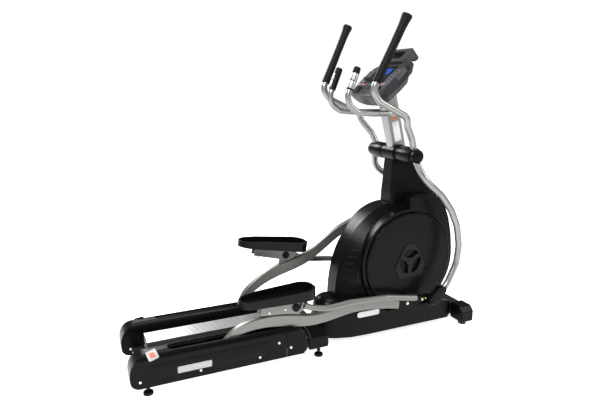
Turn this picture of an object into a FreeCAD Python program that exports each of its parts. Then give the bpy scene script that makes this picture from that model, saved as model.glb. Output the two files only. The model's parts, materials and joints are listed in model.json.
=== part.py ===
import FreeCAD, Part
import math
import os

# Elliptical trainer, millimetres. +X points to the console end, +Z up and +Y to the user's left.
# Everything is drawn with x measured from the rear levelling feet. Each shape then moves back by
# origin_x, so that the origin is on the floor under the middle of the whole machine.
V = FreeCAD.Vector
origin_x = 969.0
right, left = -1, 1

# Linkage: crank, rail, main arms, pedal links and swing arms
crank_x, crank_z, crank_radius = 1525.0, 458.0, 250.0
crank_turn = 0.15
arm_length = 1130.0
roller_z, roller_radius, roller_width = 155.0, 30.0, 22.0
swing_x, swing_z, swing_radius = 1497.0, 1084.0, 854.0
swing_angle_right = math.radians(8.3)
pedal_along, pedal_above = 420.0, 148.0

# Lateral stations, from the middle plane outwards
arm_y, arm_thickness = 186.0, 32.0
track_y, track_half_width = 180.0, 50.0
disc_inner_y, disc_outer_y, disc_radius = 139.0, 162.0, 290.0
link_y = 224.0
swing_y = 264.0
barrel_inner_y, barrel_outer_y, barrel_radius = 62.0, 232.0, 38.0
pedal_y = 172.0

# Tubes
handle_radius, link_radius, lower_radius = 18.0, 16.5, 19.0
tube_wall = 2.0

# Base
track_back_x, track_front_x, track_floor_z, track_top_z = -86.0, 830.0, 60.0, 229.0
slot_back_x, slot_width = 100.0, 48.0
mid_bar_x, front_bar_x, bar_length = 903.0, 1932.0, 460.0
foot_radius = 24.0
column_back_x, column_front_x, column_top_z = 1540.0, 1640.0, 800.0
wheel_x, wheel_z, wheel_radius = 1998.0, 36.0, 26.0

out_folder = "parts"


# ---------------------------------------------------------------- shape helpers
def box(x0, x1, y0, y1, z0, z1):
    return Part.makeBox(x1 - x0, y1 - y0, z1 - z0, V(x0, y0, z0))


def rounded(shape, radius, picks=None):
    edges = [e for e in shape.Edges if picks is None or picks(e)]
    return shape.makeFillet(radius, edges)


def rod(x, z, radius, y0, y1):
    """Round bar along Y."""
    return Part.makeCylinder(radius, y1 - y0, V(x, y0, z), V(0, 1, 0))


def post(x, y, radius, z0, z1):
    """Round bar along Z."""
    return Part.makeCylinder(radius, z1 - z0, V(x, y, z0))


def fuse_all(shapes):
    body = shapes[0]
    for shape in shapes[1:]:
        body = body.fuse(shape)
    return body.removeSplitter()


def curve(points):
    line = Part.BSplineCurve()
    line.interpolate([V(*p) for p in points])
    return line.toShape()


def side_face(points, y):
    """Straight-sided outline in the XZ plane at the given y."""
    ring = [V(x, y, z) for x, z in points]
    return Part.Face(Part.makePolygon(ring + [ring[0]]))


def side_plate(points, y0, y1):
    return side_face(points, y0).extrude(V(0, y1 - y0, 0))


def arc_path(points, radius):
    """Straight runs joined by tangent arcs, as one wire."""
    nodes = [V(*p) for p in points]
    edges = []
    start = nodes[0]
    for before, corner, after in zip(nodes, nodes[1:], nodes[2:]):
        back = (before - corner)
        ahead = (after - corner)
        runs = (back.Length, ahead.Length)
        back.normalize()
        ahead.normalize()
        half_turn = (math.pi - back.getAngle(ahead)) / 2
        trim = min(radius * math.tan(half_turn), 0.48 * min(runs))
        bend = trim / math.tan(half_turn)
        p0 = corner + back * trim
        p2 = corner + ahead * trim
        middle = back + ahead
        middle.normalize()
        p1 = corner + middle * (bend / math.cos(half_turn) - bend)
        if (p0 - start).Length > 0.01:
            edges.append(Part.LineSegment(start, p0).toShape())
        edges.append(Part.Arc(p0, p1, p2).toShape())
        start = p2
    edges.append(Part.LineSegment(start, nodes[-1]).toShape())
    return Part.Wire(edges)


def sweep(path, radius):
    first = path.Edges[0]
    start = first.valueAt(first.FirstParameter)
    tangent = first.tangentAt(first.FirstParameter)
    ring = Part.Wire(Part.Circle(start, tangent, radius).toShape())
    return path.makePipeShell([ring], True, False)


def pipe(points, radius, bend, wall=tube_wall):
    """Bent round tube with open bore."""
    path = arc_path(points, bend)
    return sweep(path, radius).cut(sweep(path, radius - wall))


def mirror_y(shape):
    return shape.mirror(V(0, 0, 0), V(0, 1, 0))


def turned(shape, x, z, angle):
    """Copy turned in the XZ plane about a Y axis, positive from +X towards +Z."""
    copy = shape.copy()
    copy.rotate(V(x, 0, z), V(0, 1, 0), -math.degrees(angle))
    return copy


def both_sides(shape):
    return Part.makeCompound([shape, mirror_y(shape)])


# ---------------------------------------------------------------- linkage positions at rest
def linkage(side):
    """Rest positions of one side: crank pin, roller axle, arm angle, pedal pivot, lower joint."""
    sign = side
    pin = (crank_x + sign * crank_radius * math.sin(crank_turn),
           crank_z + sign * crank_radius * math.cos(crank_turn))
    rise = pin[1] - roller_z
    roller = (pin[0] - math.sqrt(arm_length ** 2 - rise ** 2), roller_z)
    slope = math.atan2(rise, pin[0] - roller[0])
    pedal = (roller[0] + pedal_along * math.cos(slope) - pedal_above * math.sin(slope),
             roller[1] + pedal_along * math.sin(slope) + pedal_above * math.cos(slope))
    return pin, roller, slope, pedal


def lower_joint(angle):
    return (swing_x + swing_radius * math.sin(angle), swing_z - swing_radius * math.cos(angle))


def swing_angle(side):
    """The right arm's angle is set, the left one follows from the same link length."""
    if side == right:
        return swing_angle_right
    near = linkage(right)[3]
    joint = lower_joint(swing_angle_right)
    link = math.hypot(joint[0] - near[0], joint[1] - near[1])
    far = linkage(left)[3]
    dx, dz = swing_x - far[0], swing_z - far[1]
    reach = math.hypot(dx, dz)
    along = (link ** 2 - swing_radius ** 2 + reach ** 2) / (2 * reach)
    off = math.sqrt(link ** 2 - along ** 2)
    x = far[0] + along * dx / reach + off * dz / reach
    z = far[1] + along * dz / reach - off * dx / reach
    return math.atan2(x - swing_x, swing_z - z)


# ---------------------------------------------------------------- base frame
def main_frame():
    spine = box(860, 1900, -38, 38, 52, 112).cut(box(858, 1902, -35, 35, 55, 109))
    column = box(column_back_x, column_front_x, -36, 36, 112, column_top_z)
    column = column.cut(box(column_back_x + 3, column_front_x - 3, -33, 33, 109, column_top_z + 2))
    brace = side_plate([(column_front_x - 2, 640), (1790, 112), (1832, 112), (column_front_x, 712)], -18, 18)
    saddle = side_plate([(column_back_x + 1, 380), (column_back_x + 1, 536), (crank_x - 20, 492),
                         (crank_x - 20, 424)], -20, 20)
    shaft_bore = rod(crank_x, crank_z, 31.1, -80, 80)
    bearing_tube = rod(crank_x, crank_z, 38, -52, 52)
    rear_tie = box(-30, 20, -159.8, 159.8, 78, 100)
    beam_web = box(18, 850, -14, 14, 78, 166)
    web_foot = box(848, 862, -14, 14, 78, 112)
    return fuse_all([spine, column, brace, saddle, bearing_tube, rear_tie, beam_web, web_foot]).cut(shaft_bore)


def stabilizers():
    """Hollow cross bars under the machine, the front one with the forks of its two wheels."""
    bars = []
    for x, wide, z0, z1 in ((mid_bar_x, 104, 76, 160), (front_bar_x, 78, 34, 114)):
        half = bar_length / 2 - 30
        bar = rounded(box(x - wide / 2, x + wide / 2, -half, half, z0, z1), 10,
                      lambda e: abs(e.tangentAt(e.FirstParameter).y) > 0.9)
        bore = rounded(box(x - wide / 2 + 4, x + wide / 2 - 4, -half - 1, half + 1, z0 + 4, z1 - 4), 6,
                       lambda e: abs(e.tangentAt(e.FirstParameter).y) > 0.9)
        notch = box(x - wide, x + wide, -38.2, 38.2, 51.8, 112.2)
        bars.append(bar.cut(bore).cut(notch))
    fork = wheel_fork()
    front = bars[1].fuse(fork).fuse(mirror_y(fork)).removeSplitter()
    return Part.makeCompound([bars[0], front])


def wheel_fork():
    """Two cheeks and the axle of the left transport wheel."""
    back = front_bar_x + 38
    cheeks = [box(back, wheel_x + 12, y, y + 5, wheel_z - 2, 62) for y in (50, 89)]
    return fuse_all(cheeks + [rod(wheel_x, wheel_z, 8.0, 50, 94)])


def stabilizer_cap(x, wide, z0, z1, slant):
    inner, outer = 124.0, bar_length / 2
    body = box(x - wide / 2, x + wide / 2, -outer, -inner, z0, z1)
    wedge = side_free_wedge(x, wide, outer, z1, slant)
    body = body.cut(wedge)
    body = rounded(body, 11, lambda e: e.BoundBox.YMin < -outer + 60 or e.BoundBox.YLength > 60)
    grip = 4.2
    bar_half = bar_length / 2 - 30
    socket = box(x - wide / 2 + grip, x + wide / 2 - grip, -bar_half - 0.5, -inner + 1,
                 z0 + grip, z1 - grip)
    return body.cut(socket)


def side_free_wedge(x, wide, outer, top, slant):
    """Sloping slice off the top outer edge of an end cap."""
    profile = [V(x - wide, -outer - 1, top - slant), V(x - wide, -outer - 1, top + 1),
               V(x - wide, -outer + slant, top + 1)]
    face = Part.Face(Part.makePolygon(profile + [profile[0]]))
    return face.extrude(V(2 * wide, 0, 0))


def stabilizer_caps():
    mid = stabilizer_cap(mid_bar_x, 118, 66, 170, 34)
    mid = mid.cut(rail_tongue(-1, 0.3))
    front = stabilizer_cap(front_bar_x, 92, 24, 124, 30)
    return Part.makeCompound([mid, mirror_y(mid), front, mirror_y(front)])


def levelling_feet():
    feet = []
    for x, height in ((0, 78), (mid_bar_x + 20, 66), (front_bar_x, 24)):
        pad = post(x, -track_y, foot_radius, 0, 14)
        pad = rounded(pad, 4, lambda e: e.BoundBox.ZMin > 13)
        stem = post(x, -track_y, 6, 14, height)
        foot = pad.fuse(stem)
        if height > 40:
            nut_z = 30
            nut = Part.Face(Part.makePolygon(
                [V(x + 11 * math.cos(k * math.pi / 3), -track_y + 11 * math.sin(k * math.pi / 3), nut_z)
                 for k in range(7)])).extrude(V(0, 0, 9))
            foot = foot.fuse(nut)
        foot = foot.removeSplitter()
        feet += [foot, mirror_y(foot)]
    return Part.makeCompound(feet)


def transport_wheel(side):
    tyre = rod(wheel_x, wheel_z, wheel_radius, 60, 84)
    tyre = rounded(tyre, 5)
    tyre = tyre.cut(rod(wheel_x, wheel_z, 8.05, 50, 95))
    return tyre if side == left else mirror_y(tyre)


# ---------------------------------------------------------------- tracks
def track_outline(inset, y0, y1):
    """Side outline of a track cover: big round at the rear top, smaller ones elsewhere."""
    x0, x1 = track_back_x + inset, track_front_x - inset
    z0, z1 = track_floor_z, track_top_z - inset
    rear_top, rear_low, front = 96.0 - inset, 44.0 - inset, 122.0 - inset
    lean = math.sqrt(0.5)
    edges = [
        Part.LineSegment(V(x0 + rear_low, y0, z0), V(x1 - 20, y0, z0)).toShape(),
        Part.LineSegment(V(x1 - 20, y0, z0), V(x1, y0, z0 + 20)).toShape(),
        Part.LineSegment(V(x1, y0, z0 + 20), V(x1, y0, z1 - front)).toShape(),
        Part.Arc(V(x1, y0, z1 - front),
                 V(x1 - front + front * lean, y0, z1 - front + front * lean),
                 V(x1 - front, y0, z1)).toShape(),
        Part.LineSegment(V(x1 - front, y0, z1), V(x0 + rear_top, y0, z1)).toShape(),
        Part.Arc(V(x0 + rear_top, y0, z1),
                 V(x0 + rear_top - rear_top * lean, y0, z1 - rear_top + rear_top * lean),
                 V(x0, y0, z1 - rear_top)).toShape(),
        Part.LineSegment(V(x0, y0, z1 - rear_top), V(x0, y0, z0 + rear_low)).toShape(),
        Part.Arc(V(x0, y0, z0 + rear_low),
                 V(x0 + rear_low - rear_low * lean, y0, z0 + rear_low - rear_low * lean),
                 V(x0 + rear_low, y0, z0)).toShape()]
    return Part.Face(Part.Wire(edges)).extrude(V(0, y1 - y0, 0))


def track_section(inset):
    """Cross-section of a track cover, run along X: upright walls and a crowned top."""
    half = track_half_width - inset
    top = track_top_z - inset
    crown = 40.0
    x0 = track_back_x - 5
    shoulder = half - crown * 0.8
    edges = [
        Part.LineSegment(V(x0, -half, track_floor_z - 1), V(x0, half, track_floor_z - 1)).toShape(),
        Part.LineSegment(V(x0, half, track_floor_z - 1), V(x0, half, top - crown)).toShape(),
        Part.Arc(V(x0, half, top - crown), V(x0, half - 9, top - 13), V(x0, shoulder, top)).toShape(),
        Part.LineSegment(V(x0, shoulder, top), V(x0, -shoulder, top)).toShape(),
        Part.Arc(V(x0, -shoulder, top), V(x0, -half + 9, top - 13), V(x0, -half, top - crown)).toShape(),
        Part.LineSegment(V(x0, -half, top - crown), V(x0, -half, track_floor_z - 1)).toShape()]
    return Part.Face(Part.Wire(edges)).extrude(V(track_front_x - track_back_x + 10, 0, 0))


def track_body(inset):
    span = track_half_width + 5
    solid = track_outline(inset, -span, span).common(track_section(inset))
    return solid


def track_cover(side):
    """Cover of one rail, with the slot that the main arm runs in, and its front cap."""
    wall = 4.0
    shell = track_body(0).cut(track_body(wall))
    slot_y = arm_y - track_y
    half = slot_width / 2
    slot = box(slot_back_x + half, track_front_x - 60, slot_y - half, slot_y + half, 150, 260)
    slot = slot.fuse(post(slot_back_x + half, slot_y, half, 150, 260))
    front_gap = box(track_front_x - 62, track_front_x + 2, slot_y - half, slot_y + half, 168, 260)
    shell = shell.cut(slot.fuse(front_gap))
    seam = side_plate([(686, 240), (688, 240), (712, 190), (712, 40), (710, 40), (710, 190)], -60, 60)
    shell = shell.cut(seam)
    shell = shell.cut(box(-30.4, 20.4, -track_half_width - 1, -track_half_width + 5, 59, 100.4))
    tongue_top = roller_z - roller_radius + 0.3
    shell = shell.cut(box(track_front_x - 10, track_front_x + 1, -12.3, 12.3, tongue_top - 22.6, tongue_top))
    shell.translate(V(0, track_y, 0))
    return shell if side == left else mirror_y(shell)


def track_rails():
    """Steel rail that the roller runs on, one inside each cover."""
    top = roller_z - roller_radius
    rail = box(-60, 824, track_y - 34, track_y + 34, top - 22, top)
    rail = rail.cut(box(-61, 825, track_y - 31, track_y + 31, top - 19, top - 3))
    foot_block = box(-20, 20, track_y - 20, track_y + 20, 78, top - 22)
    rail = fuse_all([rail, foot_block, rail_tongue(1, 0)])
    return both_sides(rail)


def rail_tongue(side, gap):
    """Bar that ties the front end of a rail to the middle stabilizer, through both covers."""
    top = roller_z - roller_radius
    back = 780 if gap == 0 else track_front_x
    tongue = box(back, mid_bar_x - 52 + gap, track_y - 12 - gap, track_y + 12 + gap, top - 22 - gap, top + gap)
    return tongue if side == left else mirror_y(tongue)


def centre_beam():
    """Ribbed aluminium extrusion between the two covers."""
    x0, x1, half, z0, z1 = 24.0, 846.0, 58.0, 166.0, 206.0
    skin = 3.0
    ring = [V(x0, -half, z0), V(x0, half, z0), V(x0, half, z1)]
    ribs, depth = 8, 2.4
    pitch = 2 * half / ribs
    for k in range(ribs):
        y = half - k * pitch
        if k:
            ring += [V(x0, y + 2.4, z1), V(x0, y + 1.6, z1 - depth), V(x0, y - 1.6, z1 - depth),
                     V(x0, y - 2.4, z1)]
    ring += [V(x0, -half, z1)]
    solid = Part.Face(Part.makePolygon(ring + [ring[0]])).extrude(V(x1 - x0, 0, 0))
    hollow = box(x0 - 1, x1 + 1, -half + skin, half - skin, z0 + skin, z1 - 2 * skin)
    web = box(x0, x1, -2, 2, z0, z1 - 4)
    return solid.cut(hollow).fuse(web).removeSplitter()


# ---------------------------------------------------------------- housing
rear_line = [(1092, 118), (1090, 290), (1118, 472), (1203, 642), (1318, 745), (1420, 792)]
front_line = [(1700, 812), (1800, 740), (1862, 600), (1886, 440), (1872, 262), (1850, 118)]


def housing_ring(y, pull):
    """Closed outline of the main housing, pulled in towards the crank axis."""
    def pulled(points):
        moved = []
        for x, z in points:
            reach = math.hypot(x - crank_x, z - crank_z)
            scale = 1 - pull / reach
            low = z < 200
            moved.append((crank_x + (x - crank_x) * scale, y,
                          z if low else crank_z + (z - crank_z) * scale))
        return moved
    rear = pulled(rear_line)
    front = pulled(front_line)
    edges = [curve(rear), Part.makeLine(V(*rear[-1]), V(*front[0])), curve(front),
             Part.makeLine(V(*front[-1]), V(*rear[0]))]
    return Part.Wire(edges)


def housing_half(inset):
    """Left half of the housing, from the middle plane out to its slanted flank."""
    crown, flank, depth = 48.0, 128.0 - inset, 90.0
    inner = Part.makeLoft([housing_ring(-1, inset), housing_ring(crown, inset)], True, True)
    outer = Part.makeLoft([housing_ring(crown, inset), housing_ring(flank, inset + depth)], True, True)
    return inner.fuse(outer)


def side_shell(side):
    """Moulded half of the housing with the round recess that the crank disc turns in."""
    wall = 4.0
    floor = box(900, 2000, -10, 300, 0, 119)
    shell = housing_half(0).cut(housing_half(wall)).cut(floor)
    shell = shell.cut(box(900, 2000, -10, 0.3, 0, 1200))
    rim = rod(crank_x, crank_z, 312, 90, 150)
    band = side_plate([(1520, 560), (1520, 835), (1560, 846), (1690, 840), (1735, 818), (1768, 772),
                       (1802, 690), (1826, 590), (1836, 500), (1838, 450), (1700, 450)], 90, 150)
    boss = rim.fuse(band).cut(box(900, 2000, 80, 160, 0, 205))
    boss = boss.cut(rod(crank_x, crank_z, 296, 136, 160))
    inside = rod(crank_x, crank_z, 305, 80, 132)
    inside_band = side_plate([(1526, 560), (1526, 829), (1560, 840), (1688, 834), (1730, 813), (1762, 768),
                              (1796, 688), (1819, 590), (1829, 500), (1700, 450)], 80, 146)
    boss = boss.cut(inside).cut(inside_band.cut(rod(crank_x, crank_z, 300, 70, 170)))
    body = shell.cut(rim.fuse(band)).fuse(boss)
    body = body.cut(rod(crank_x, crank_z, 46, 80, 160))
    body = body.cut(neck_stack(-0.4)).removeSplitter()
    body = max(body.Solids, key=lambda s: s.Volume)
    return body if side == left else mirror_y(body)


def neck_stack(inset):
    """Tapering column with cut corners, narrower and set back as it rises."""
    levels = ((776, 1444, 1812, 62), (850, 1446, 1764, 60), (930, 1452, 1702, 56), (1010, 1456, 1648, 54),
              (1046, 1458, 1624, 50))
    cut = 12
    rings = []
    for z, x0, x1, half in levels:
        x0, x1, half = x0 + inset, x1 - inset, half - inset
        ring = [V(x0 + cut, -half, z), V(x1 - 3 * cut, -half, z), V(x1, -half + 2 * cut, z),
                V(x1, half - 2 * cut, z), V(x1 - 3 * cut, half, z), V(x0 + cut, half, z),
                V(x0, half - cut, z), V(x0, -half + cut, z)]
        rings.append(Part.makePolygon(ring + [ring[0]]))
    return Part.makeLoft(rings, True, True)


def neck_cover():
    """Slim cover over the mast column, between the housing and the swing pivot."""
    hollow = neck_stack(4).cut(box(1300, 1800, -100, 100, 1042, 1100))
    return neck_stack(0).cut(hollow).cut(mast_bar(mast_depth + 0.4, mast_width + 0.4, 10))


def base_shroud():
    """Boat-shaped cover on the spine, with the rounded nose behind the housing."""
    plan = [(968, 44), (985, 70), (1060, 112), (1150, 138), (1260, 145), (1840, 145), (1878, 120),
            (1878, -120), (1840, -145), (1260, -145), (1150, -138), (1060, -112), (985, -70), (968, -44)]
    side = [(968, 44), (968, 108), (1010, 150), (1090, 190), (1200, 204), (1330, 196), (1392, 164),
            (1800, 164), (1878, 140), (1878, 44)]

    def hull(inset):
        ring = [V(max(968 + inset, min(1878 - inset, x)), math.copysign(abs(y) - inset, y), 30)
                for x, y in plan]
        block = Part.Face(Part.makePolygon(ring + [ring[0]])).extrude(V(0, 0, 300))
        lines = [(max(968 + inset, min(1878 - inset, x)), z - inset if z > 50 else 40)
                 for x, z in side]
        return block.common(side_plate(lines, -200, 200))

    def dome(inset):
        drum = post(1078, 0, 96 - inset, 120, 268 - inset)
        return rounded(drum, 64 - inset, lambda e: e.BoundBox.ZMin > 200 and len(e.Vertexes) == 1)
    shell = hull(0).fuse(dome(0)).cut(hull(4).fuse(dome(4)))
    spine_way = box(850, 1950, -39, 39, 30, 113)
    column_way = box(column_back_x - 2, column_front_x + 2, -38, 38, 110, 260)
    brace_way = box(1740, 1838, -19, 19, 100, 260)
    plan_way = [(1086, -49), (1160, -129), (1900, -129), (1900, 129), (1160, 129), (1086, 49)]
    ring = [V(x, y, 118.4) for x, y in plan_way]
    housing_way = Part.Face(Part.makePolygon(ring + [ring[0]])).extrude(V(0, 0, 300))
    shell = shell.cut(spine_way).cut(column_way).cut(brace_way).cut(housing_way)
    return max(shell.removeSplitter().Solids, key=lambda s: s.Volume)


# ---------------------------------------------------------------- drive inside the housing
flywheel_x, flywheel_z, flywheel_radius = 1705.0, 300.0, 105.0
pulley_radius, hub_groove = 150.0, 30.0
idler_radius = 26.0
belt_y0, belt_y1 = 84.0, 100.0
belt_inset, belt_thick = 2.6, 2.2


def belt_line():
    """Heading from the crank axis to the flywheel axis, their distance and the belt's wrap angle."""
    dx, dz = flywheel_x - crank_x, flywheel_z - crank_z
    reach = math.hypot(dx, dz)
    spread = math.acos((pulley_radius - hub_groove) / reach)
    return math.atan2(dz, dx), reach, spread


def idler_centre():
    """The idler rides on the outside of the belt's upper run."""
    heading, reach, spread = belt_line()
    out = heading + spread
    large = pulley_radius - belt_inset + belt_thick + idler_radius + 0.3
    small = hub_groove - belt_inset + belt_thick + idler_radius + 0.3
    share = 0.5
    x = crank_x * (1 - share) + flywheel_x * share + (large * (1 - share) + small * share) * math.cos(out)
    z = crank_z * (1 - share) + flywheel_z * share + (large * (1 - share) + small * share) * math.sin(out)
    return x, z


def crank_shaft():
    return rod(crank_x, crank_z, 20, -disc_outer_y, disc_outer_y)


def crank_bearings():
    rings = []
    for y0 in (-52, 36):
        rings.append(rod(crank_x, crank_z, 31, y0, y0 + 16).cut(rod(crank_x, crank_z, 20.05, y0 - 1, y0 + 17)))
    return Part.makeCompound(rings)


def drive_pulley():
    wheel = rod(crank_x, crank_z, pulley_radius, belt_y0 - 2, belt_y1 + 2)
    groove = rod(crank_x, crank_z, pulley_radius + 5, belt_y0, belt_y1)
    groove = groove.cut(rod(crank_x, crank_z, pulley_radius - belt_inset - 0.1, belt_y0, belt_y1))
    wheel = wheel.cut(groove)
    for k in range(6):
        angle = k * math.pi / 3
        x, z = crank_x + 92 * math.cos(angle), crank_z + 92 * math.sin(angle)
        wheel = wheel.cut(rod(x, z, 30, belt_y0 - 5, belt_y1 + 5))
    return wheel.cut(rod(crank_x, crank_z, 20.0, belt_y0 - 5, belt_y1 + 5))


def flywheel():
    disc = rod(flywheel_x, flywheel_z, flywheel_radius, 44, 66)
    web = rod(flywheel_x, flywheel_z, flywheel_radius - 18, 40, 52)
    web = web.fuse(rod(flywheel_x, flywheel_z, flywheel_radius - 18, 58, 70))
    disc = disc.cut(web)
    groove_wheel = rod(flywheel_x, flywheel_z, hub_groove, 56, belt_y1 + 2)
    groove = rod(flywheel_x, flywheel_z, hub_groove + 2, belt_y0, belt_y1)
    groove = groove.cut(rod(flywheel_x, flywheel_z, hub_groove - belt_inset - 0.1, belt_y0, belt_y1))
    return disc.fuse(groove_wheel.cut(groove)).cut(rod(flywheel_x, flywheel_z, 10.05, 30, 120)).removeSplitter()


def idler_pulley():
    x, z = idler_centre()
    wheel = rod(x, z, idler_radius, belt_y0, belt_y1)
    return wheel.cut(rod(x, z, 8.05, 70, 120))


def drive_brackets():
    """Plates that hold the flywheel axle and the idler axle on the spine and the column."""
    plate = side_plate([(1660, 112.4), (1750, 112.4), (1735, 320), (1675, 320)], 20, 28)
    axle = rod(flywheel_x, flywheel_z, 10, 20, 106)
    x, z = idler_centre()
    root = column_front_x + 0.4
    arm = side_plate([(root, z + 20), (x + 14, z - 16), (x + 14, z + 18), (root, z + 90)], 20, 28)
    pin = rod(x, z, 8, 20, 106)
    return Part.makeCompound([plate.fuse(axle).removeSplitter(), arm.fuse(pin).removeSplitter()])


def drive_belt():
    """Closed belt loop from the drive pulley to the flywheel's small pulley."""
    big, small = pulley_radius - belt_inset, hub_groove - belt_inset
    heading, reach, spread = belt_line()

    def loop(extra):
        r1, r2 = big + extra, small + extra
        points = []
        for radius, cx, cz, start, end in (
                (r1, crank_x, crank_z, heading + spread, heading + 2 * math.pi - spread),
                (r2, flywheel_x, flywheel_z, heading - spread, heading + spread)):
            middle = (start + end) / 2
            points.append([V(cx + radius * math.cos(a), belt_y0 + 2, cz + radius * math.sin(a))
                           for a in (start, middle, end)])
        big_arc, small_arc = points
        edges = [Part.Arc(*big_arc).toShape(), Part.makeLine(big_arc[2], small_arc[0]),
                 Part.Arc(*small_arc).toShape(), Part.makeLine(small_arc[2], big_arc[0])]
        return Part.Face(Part.Wire(edges)).extrude(V(0, belt_y1 - belt_y0 - 4, 0))
    return loop(belt_thick).cut(loop(0))


def brake_magnet():
    """Curved magnet carrier that rides round the flywheel rim."""
    ring = rod(flywheel_x, flywheel_z, 122, 38, 72).cut(rod(flywheel_x, flywheel_z, 109, 30, 80))
    ring = ring.cut(rod(flywheel_x, flywheel_z, 130, 43.0, 67.0).cut(rod(flywheel_x, flywheel_z, 109, 30, 80)))
    wedge = side_plate([(flywheel_x, flywheel_z), (flywheel_x + 200, flywheel_z - 60),
                        (flywheel_x + 200, flywheel_z + 130)], 30, 80)
    back = rod(flywheel_x, flywheel_z, 128, 38, 72).cut(rod(flywheel_x, flywheel_z, 120, 30, 80))
    body = ring.fuse(back).common(wedge)
    foot = box(1790, 1806, 38, 50, 112.4, 262)
    foot_pad = box(1790, 1830, 38, 72, 250, 262)
    return max(body.fuse(foot).fuse(foot_pad).cut(rod(flywheel_x, flywheel_z, 109, 30, 80)).removeSplitter().Solids,
               key=lambda s: s.Volume)


def hub_pockets(y0, y1):
    """Three fan-shaped pockets round the hub, parted by spokes."""
    ring = rod(crank_x, crank_z, 74, y0, y1).cut(rod(crank_x, crank_z, 24, y0 - 1, y1 + 1))
    for k in range(3):
        spoke = box(crank_x - 13, crank_x + 13, y0 - 1, y1 + 1, crank_z, crank_z + 110)
        spoke.rotate(V(crank_x, 0, crank_z), V(0, 1, 0), 60 + 120 * k)
        ring = ring.cut(spoke)
    return ring


def crank_disc(side):
    """Round crank disc with the boss of the crank pin at the crank radius."""
    plate = rod(crank_x, crank_z, disc_radius, disc_inner_y, disc_outer_y)
    plate = rounded(plate, 6, lambda e: abs(e.BoundBox.YMin - disc_outer_y) < 0.1)
    plate = plate.cut(rod(crank_x, crank_z, 255, disc_inner_y - 1, disc_inner_y + 9).cut(
        rod(crank_x, crank_z, 90, disc_inner_y - 2, disc_inner_y + 12)))
    pin = linkage(side)[0]
    boss = rod(pin[0], pin[1], 22, disc_outer_y - 2, disc_outer_y + 5.5)
    plate = plate.fuse(boss).cut(rod(crank_x, crank_z, 20.0, disc_inner_y - 5, disc_outer_y + 10))
    plate = plate.cut(hub_pockets(disc_outer_y - 13, disc_outer_y + 1)).removeSplitter()
    return plate if side == left else mirror_y(plate)


def hub_cover():
    """Rounded three-lobed cover on the middle of a crank disc, open over its three pockets."""
    y0, y1 = disc_outer_y, disc_outer_y + 5
    corners = [(-36, 106), (36, 106), (106, -30), (76, -97), (-76, -97), (-106, -30)]
    plate = side_plate([(crank_x + x, crank_z + z) for x, z in corners], y0, y1)
    plate = rounded(plate, 18, lambda e: abs(e.tangentAt(e.FirstParameter).y) > 0.9)
    plate = rounded(plate, 2.5, lambda e: e.BoundBox.YMin > y1 - 0.1)
    return plate.cut(hub_pockets(y0 - 1, y1 + 1))


def hub_covers():
    cover = hub_cover()
    return both_sides(cover)


# ---------------------------------------------------------------- main arms and rollers
arm_line = [(0, 0), (48, 44), (110, 82), (180, 95), (260, 96), (340, 84), (420, 64), (500, 48),
            (580, 44), (660, 50), (740, 58), (820, 58), (900, 48), (980, 34), (1060, 14), (1078, 9)]
arm_half = [(0, 20), (48, 21), (110, 24), (180, 27), (260, 31), (340, 33), (420, 33), (500, 32),
            (580, 30), (660, 29), (740, 29), (820, 29), (900, 28), (980, 28), (1060, 27), (1078, 27)]


def arm_edges(sign):
    """Upper or lower edge of the arm, each point set off square to the centre line."""
    points = []
    for k, ((a, b), (_, half)) in enumerate(zip(arm_line, arm_half)):
        before = arm_line[max(k - 1, 0)]
        after = arm_line[min(k + 1, len(arm_line) - 1)]
        run, rise = after[0] - before[0], after[1] - before[1]
        size = math.hypot(run, rise)
        points.append((a - sign * half * rise / size, b + sign * half * run / size))
    return points


def main_arm(side):
    """S-shaped pressed arm from the roller axle to the crank bearing, with the pedal ear."""
    roller, slope = linkage(side)[1:3]
    y0, y1 = arm_y - arm_thickness / 2, arm_y + arm_thickness / 2
    upper, lower = arm_edges(1), arm_edges(-1)
    top = curve([(roller[0] + a, y0, roller[1] + b) for a, b in upper])
    low = curve([(roller[0] + a, y0, roller[1] + b) for a, b in lower])
    nose = Part.Arc(V(roller[0] + lower[0][0], y0, roller[1] + lower[0][1]),
                    V(roller[0] - 15, y0, roller[1] - 13),
                    V(roller[0] + upper[0][0], y0, roller[1] + upper[0][1])).toShape()
    end = Part.makeLine(V(roller[0] + upper[-1][0], y0, roller[1] + upper[-1][1]),
                        V(roller[0] + lower[-1][0], y0, roller[1] + lower[-1][1]))
    outline = Part.Wire(Part.__sortEdges__([top, end, low, nose]))
    blade = Part.Face(outline).extrude(V(0, arm_thickness, 0))
    blade = rounded(blade, 6, lambda e: e.BoundBox.YLength < 1 and e.Length > 300)
    blade = blade.cut(box(roller[0] + 1078, roller[0] + 1200, 0, 300, roller[1] - 100, roller[1] + 100))
    ear_x, ear_z = roller[0] + pedal_along, roller[1] + pedal_above
    ear = side_plate([(ear_x - 68, ear_z - 40), (ear_x - 24, ear_z + 2), (ear_x + 24, ear_z + 2),
                      (ear_x + 34, ear_z - 60), (ear_x + 10, ear_z - 92), (ear_x - 60, ear_z - 70)],
                     arm_y - 6, arm_y + 6)
    ear = ear.fuse(rod(ear_x, ear_z, 24, arm_y - 6, arm_y + 6))
    tongue = box(roller[0] + 1068, roller[0] + 1100, arm_y - 12, arm_y + 12, roller[1] - 8, roller[1] + 24)
    body = blade.fuse(ear).fuse(tongue)
    fork = box(roller[0] - 60, roller[0] + 36, arm_y - roller_width / 2 - 1.5,
               arm_y + roller_width / 2 + 1.5, roller[1] - 60, roller[1] + 36)
    body = body.cut(fork)
    body = body.cut(rod(roller[0], roller[1], 8.05, arm_y - 30, arm_y + 30))
    body = body.cut(rod(ear_x, ear_z, 9.06, arm_y - 30, arm_y + 30)).removeSplitter()
    body = turned(body, roller[0], roller[1], slope)
    return body if side == left else mirror_y(body)


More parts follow.
